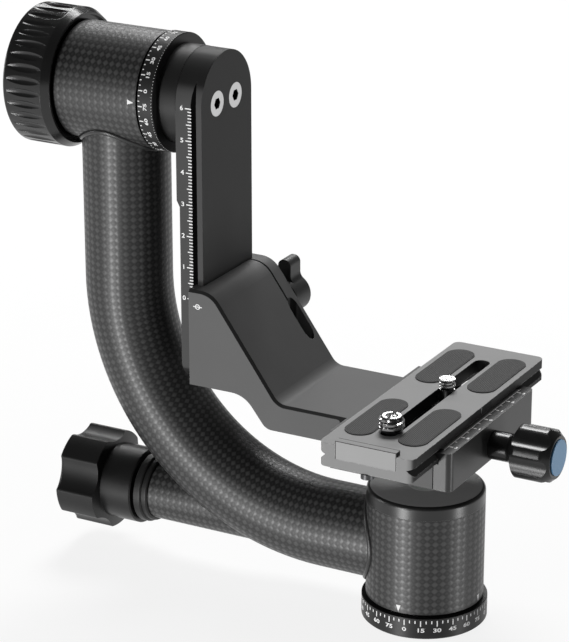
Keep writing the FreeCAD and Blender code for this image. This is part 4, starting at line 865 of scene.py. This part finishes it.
# %% Index on the plate
PLATE_INDEX_Y, PLATE_INDEX_Z = -0.2, 88.1
bm = bmesh.new()
pointer(bm, PLATE_INDEX_Y, PLATE_INDEX_Z, 1.0, 2.2)
lay("plate_index", bm, lambda u, v, height: (plate_high.x + height, u, v), "plate")

# %% [markdown]
# ## Threaded camera screws
#
# The solid's screws are smooth, because a thread would cost many faces and tell a simulation nothing. Here
# the smooth one makes way for a turned one. Its outline is drawn once as a few points and spun into a
# body, and one small tooth is spun round it and lifted by one pitch a turn, as a lathe would cut it.

# %% Body and thread
THREAD_STEPS = 36                   # the steps of one turn
THREAD_DEPTH = 0.54                 # the depth of a thread, over its pitch
THREAD_SUNK = 0.15                  # how far a thread's foot is sunk into the core, in mm
RUN_OUT = 0.2                       # the share of a turn in which a thread rises from the core


def turned_body(bm, outline):
    """Spin an outline of (radius, height) points once round the Z axis."""
    corners = [bm.verts.new((radius, 0, height)) for radius, height in outline]
    edges = [bm.edges.new(pair) for pair in zip(corners, corners[1:])]
    bmesh.ops.spin(bm, geom=corners + edges, axis=(0, 0, 1), cent=(0, 0, 0), angle=2 * math.pi, steps=48,
                   use_merge=True)
    bmesh.ops.remove_doubles(bm, verts=bm.verts, dist=1e-4)


def ridge(bm, root, crest, low, pitch, turns):
    """Spin one tooth of a thread, lifting it by its pitch each turn. Both ends run out into the core."""
    foot = root - THREAD_SUNK
    tooth = [(foot, -0.46), (crest, -0.20), (crest, 0.20), (foot, 0.46)]
    corners = [bm.verts.new((radius, 0, low + lift * pitch)) for radius, lift in tooth]
    face = bm.faces.new(corners)
    older = set(bm.verts) - set(corners)
    rise = Vector((0, 0, pitch / THREAD_STEPS))
    bmesh.ops.spin(bm, geom=corners + edges_of(corners) + [face], axis=(0, 0, 1), cent=(0, 0, 0),
                   angle=2 * math.pi * turns, steps=round(THREAD_STEPS * turns), dvec=rise)
    for vert in set(bm.verts) - older:
        part = math.atan2(vert.co.y, vert.co.x) / (2 * math.pi) % 1
        turned_by = part + round((vert.co.z - low) / pitch - part)
        full = max(0.0, min(1.0, turned_by / RUN_OUT, (turns - turned_by) / RUN_OUT))
        radius = math.hypot(vert.co.x, vert.co.y)
        vert.co.xy *= (foot + (radius - foot) * full) / radius


print("a thread has", THREAD_STEPS, "steps a turn")


# %% Slots and thread steel
def cut_slot(piece, low, high, length, width, turn=0.0):
    """Cut a screwdriver's slot, from low to high, across the piece's own Z axis."""
    bm = bmesh.new()
    size = Matrix.Diagonal((length, width, high - low, 1))
    bmesh.ops.create_cube(bm, size=1, matrix=Matrix.Rotation(turn, 4, "Z") @ size)
    blade = link("blade", mesh_of("blade", bm))
    blade.data.transform(Matrix.Translation((0, 0, (low + high) / 2)))
    cut = piece.modifiers.new("slot", "BOOLEAN")
    cut.operation, cut.solver, cut.object = "DIFFERENCE", "EXACT", blade
    cut.use_self = True
    fixed = bpy.data.meshes.new_from_object(piece.evaluated_get(bpy.context.evaluated_depsgraph_get()))
    piece.modifiers.clear()
    piece.data = fixed
    bpy.data.objects.remove(blade)


def threaded_steel(name, middle, root, top):
    """Bright crests, and grooves painted dark as painted shade, told apart by their distance from the screw's
    axis.
    """
    finish = Finish(name)
    x, y, z = finish.millimetres()
    radius = finish.math("SQRT", (x - middle.x) * (x - middle.x) + (y - middle.y) * (y - middle.y))
    groove_shade = (1 - finish.smooth(radius, root + 0.02, root + 0.3)) * (radius > root - 0.2) * (z < top - 0.1)
    marks = finish.noise(0.4, 2.0)
    bright = finish.colours(marks, grey(0.76), grey(0.88))
    return finish.shade(Base_Color=finish.colours(groove_shade * 0.93, bright, grey(0.02)), Metallic=1.0,
                        Roughness=0.14 + marks * 0.08, height=marks, depth=0.004)


print("slots are cut with a blade and a Boolean modifier")

# %% Camera screws
HEAD_HEIGHT, SLOT_DEPTH = 2.3, 1.3
HEAD_SLOT_WIDTH, TIP_SLOT_WIDTH, TIP_SLOT_TURN = 1.3, 1.5, math.radians(95)
SEAT = plate_high.z + 0.15          # where the neck ends and the thread's core begins


def camera_screw(node, name, body, crest, pitch, neck, bore, sunk=0.0):
    """A slotted screw in place of the smooth solid. crest, neck and bore are radii, and a screw with no bore
    has a flat top with no slot. sunk is how far its tip stops below the solid's."""
    low, high = span(node)
    high.z -= sunk
    middle = Vector(((low.x + high.x) / 2, (low.y + high.y) / 2, 0))
    head = (high.x - low.x) / 2
    root = crest - THREAD_DEPTH * pitch
    shoulder = low.z + HEAD_HEIGHT
    outline = [(0, low.z), (head, low.z), (head, shoulder), (neck, shoulder), (neck, SEAT), (root, SEAT)]
    if bore:
        outline += [(root, high.z - 0.5), (root - 0.4, high.z), (bore, high.z), (bore, high.z - 3.2),
                    (0, high.z - 3.6)]
    else:
        outline += [(root, high.z - 0.55), (crest - 0.06, high.z - 0.4), (crest - 0.06, high.z), (0, high.z)]
    bm = bmesh.new()
    turned_body(bm, outline)
    turns = (high.z - SEAT - (0.1 if bore else 0.4)) / pitch - 1
    ridge(bm, root, crest, SEAT + 0.5 * pitch, pitch, turns)
    bmesh.ops.recalc_face_normals(bm, faces=bm.faces)
    piece = link(name, mesh_of(name, bm))
    cut_slot(piece, low.z - 1, low.z + SLOT_DEPTH, 4 * head, HEAD_SLOT_WIDTH)
    if bore:
        cut_slot(piece, high.z - SLOT_DEPTH, high.z + 1, 4 * head, TIP_SLOT_WIDTH, TIP_SLOT_TURN)
    piece.data.transform(Matrix.Scale(MM, 4) @ Matrix.Translation(middle))
    piece.data.materials.append(threaded_steel(name + "_steel", middle, root, high.z))
    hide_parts(node)
    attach(piece, body)
    print(name, len(piece.data.polygons), "faces")


camera_screw("large_camera_screw", "large_screw_threaded", "large_screw", crest=4.7625, pitch=1.5875,
             neck=3.15, bore=2.4)
camera_screw("small_camera_screw", "small_screw_threaded", "small_screw", crest=3.175, pitch=1.27,
             neck=3.0, bore=0.0, sunk=1.4)

# %% [markdown]
# ## Ribs on the grip pads
#
# The four pads have ribs that a finger can feel, laid across at 45 degrees. Each rib lies on a line where
# x + y is constant, so a walk along that line finds the stretch that is inside the pad's rounded outline,
# and one long cube fills it. Nearly two hundred of them stay light, because each has six faces.

# %% Ribs
PAD_MIDDLES, PAD_RUNS, PAD_HALF = (-7.7, 14.1), ((-46.5, -8.3), (12.0, 50.0)), 5.7
PAD_MARGIN, WALK_STEPS = 0.35, 80
RIB_SHORTEST, RIB_HEIGHT = 0.5, 0.2
pads_top = span("plate_pads")[1].z


def chord(total, middle, run):
    """The lowest and highest x inside a pad, on the line where x + y is total."""
    inside = []
    for step in range(WALK_STEPS + 1):
        x = middle + PAD_HALF * (2 * step / WALK_STEPS - 1)
        past = max(run[0] + PAD_HALF - (total - x), (total - x) - run[1] + PAD_HALF, 0)
        if math.hypot(x - middle, past) < PAD_HALF - PAD_MARGIN:
            inside.append(x)
    return (inside[0], inside[-1]) if inside else (0, 0)


bm = bmesh.new()
for middle in PAD_MIDDLES:
    for run in PAD_RUNS:
        for step in range(-80, 80):
            total = (step + 0.25) * RIB_STEP
            left, right = chord(total, middle, run)
            if right - left > RIB_SHORTEST:
                place = Matrix.Translation(((left + right) / 2, total - (left + right) / 2, pads_top))
                size = Matrix.Diagonal(((right - left) * math.sqrt(2), RIB * 0.5, RIB_HEIGHT, 1))
                bmesh.ops.create_cube(bm, size=1, matrix=place @ Matrix.Rotation(-math.pi / 4, 4, "Z") @ size)
print(len(bm.faces) // 6, "ribs")
bmesh.ops.scale(bm, verts=bm.verts, vec=(MM, MM, MM))
pad_ribs = link("pad_ribs", mesh_of("pad_ribs", bm))
pad_ribs.data.materials.append(pad_rubber)
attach(pad_ribs, "plate")

# %% [markdown]
# ## The bubble level
#
# The round level sits in the middle of the pan housing's cap and shows when the cradle is raised. Its ring
# is a thin painted circle on the glass, and its bubble a flat dome that floats a little off the middle.

# %% Ring and bubble
vial_low, vial_high = span("level_vial")
RING_SHARE = 0.22                   # the painted ring's radius over the vial's width
BUBBLE_X, BUBBLE_Y, BUBBLE_RADIUS, BUBBLE_FLATNESS = 0.4, -0.3, 1.5, 0.12
bm = bmesh.new()
hoop(bm, 0, 0, (vial_high.x - vial_low.x) * RING_SHARE, 0.3)
lay("level_ring", bm, lambda u, v, height: (u, v, vial_high.z - 0.02 + height), "yoke", black_skin)

bubble = Finish("bubble")
green = bubble.colours(bubble.noise(1.0), (0.62, 0.80, 0.34, 1), (0.74, 0.90, 0.44, 1))
bubble_skin = bubble.shade(Base_Color=green, Roughness=0.10 + bubble.noise(0.5) * 0.05,
                           height=bubble.noise(0.8), depth=0.002)
bm = bmesh.new()
afloat = Matrix.Translation((BUBBLE_X, BUBBLE_Y, vial_high.z - 0.12))
dome = afloat @ Matrix.Diagonal((1, 1, BUBBLE_FLATNESS, 1))
bmesh.ops.create_uvsphere(bm, u_segments=24, v_segments=12, radius=BUBBLE_RADIUS, matrix=dome)
bmesh.ops.scale(bm, verts=bm.verts, vec=(MM, MM, MM))
level_bubble = link("level_bubble", mesh_of("level_bubble", bm))
level_bubble.data.materials.append(bubble_skin)
level_bubble.data.shade_smooth()
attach(level_bubble, "yoke")
print("bubble at", round(vial_high.z, 1), "mm")

# %% [markdown]
# ## Resin fillets
#
# Where the bent tube runs into the two round housings, the carbon is moulded with a soft bead of black
# resin. Two cylinders that cross at right angles meet in a saddle-shaped loop, which one root gives exactly.
# A curve with a round bevel follows that loop, and half of it sinks into the carbon.

# %% Beads where the tubes meet
BEAD_RADIUS, BEAD_POINTS = 1.2, 64
resin = anodised("black_resin", 0.014, shine=0.5, roughness=0.3, wear_and_highlight=0.0)


def bead(name, point_at):
    """A round bead along a closed loop. point_at gives its points in millimetres from an angle."""
    loop = bpy.data.curves.new(name, "CURVE")
    loop.dimensions, loop.bevel_depth, loop.bevel_resolution = "3D", BEAD_RADIUS * MM, 3
    spline = loop.splines.new("NURBS")
    spline.points.add(BEAD_POINTS - 1)
    for index, point in enumerate(spline.points):
        point.co = (Vector(point_at(index / BEAD_POINTS * 2 * math.pi)) * MM).to_4d()
    spline.use_cyclic_u, spline.order_u, spline.resolution_u = True, 4, 2
    holder = bpy.data.objects.new(name, loop)
    mesh = bpy.data.meshes.new_from_object(holder)
    bpy.data.objects.remove(holder)
    piece = link(name, mesh)
    piece.data.materials.append(resin)
    piece.data.shade_smooth()
    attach(piece, "yoke")
    print(name, len(mesh.polygons), "faces")


def under_tilt_housing(angle):
    """Where the upright run meets the tilt housing from below."""
    side = TUBE_RADIUS * math.sin(angle)
    drop = math.sqrt(tilt_high.y ** 2 - side ** 2)
    return TUBE_LEFT + TUBE_RADIUS * math.cos(angle), side, tilt_axis - drop


def beside_pan_housing(angle):
    """Where the level run meets the pan housing from the left."""
    side = TUBE_RADIUS * math.cos(angle)
    reach = math.sqrt(SHELL_RADIUS ** 2 - side ** 2)
    return -reach, side, TUBE_LEVEL + TUBE_RADIUS * math.sin(angle)


bead("tilt_fillet", under_tilt_housing)
bead("pan_fillet", beside_pan_housing)
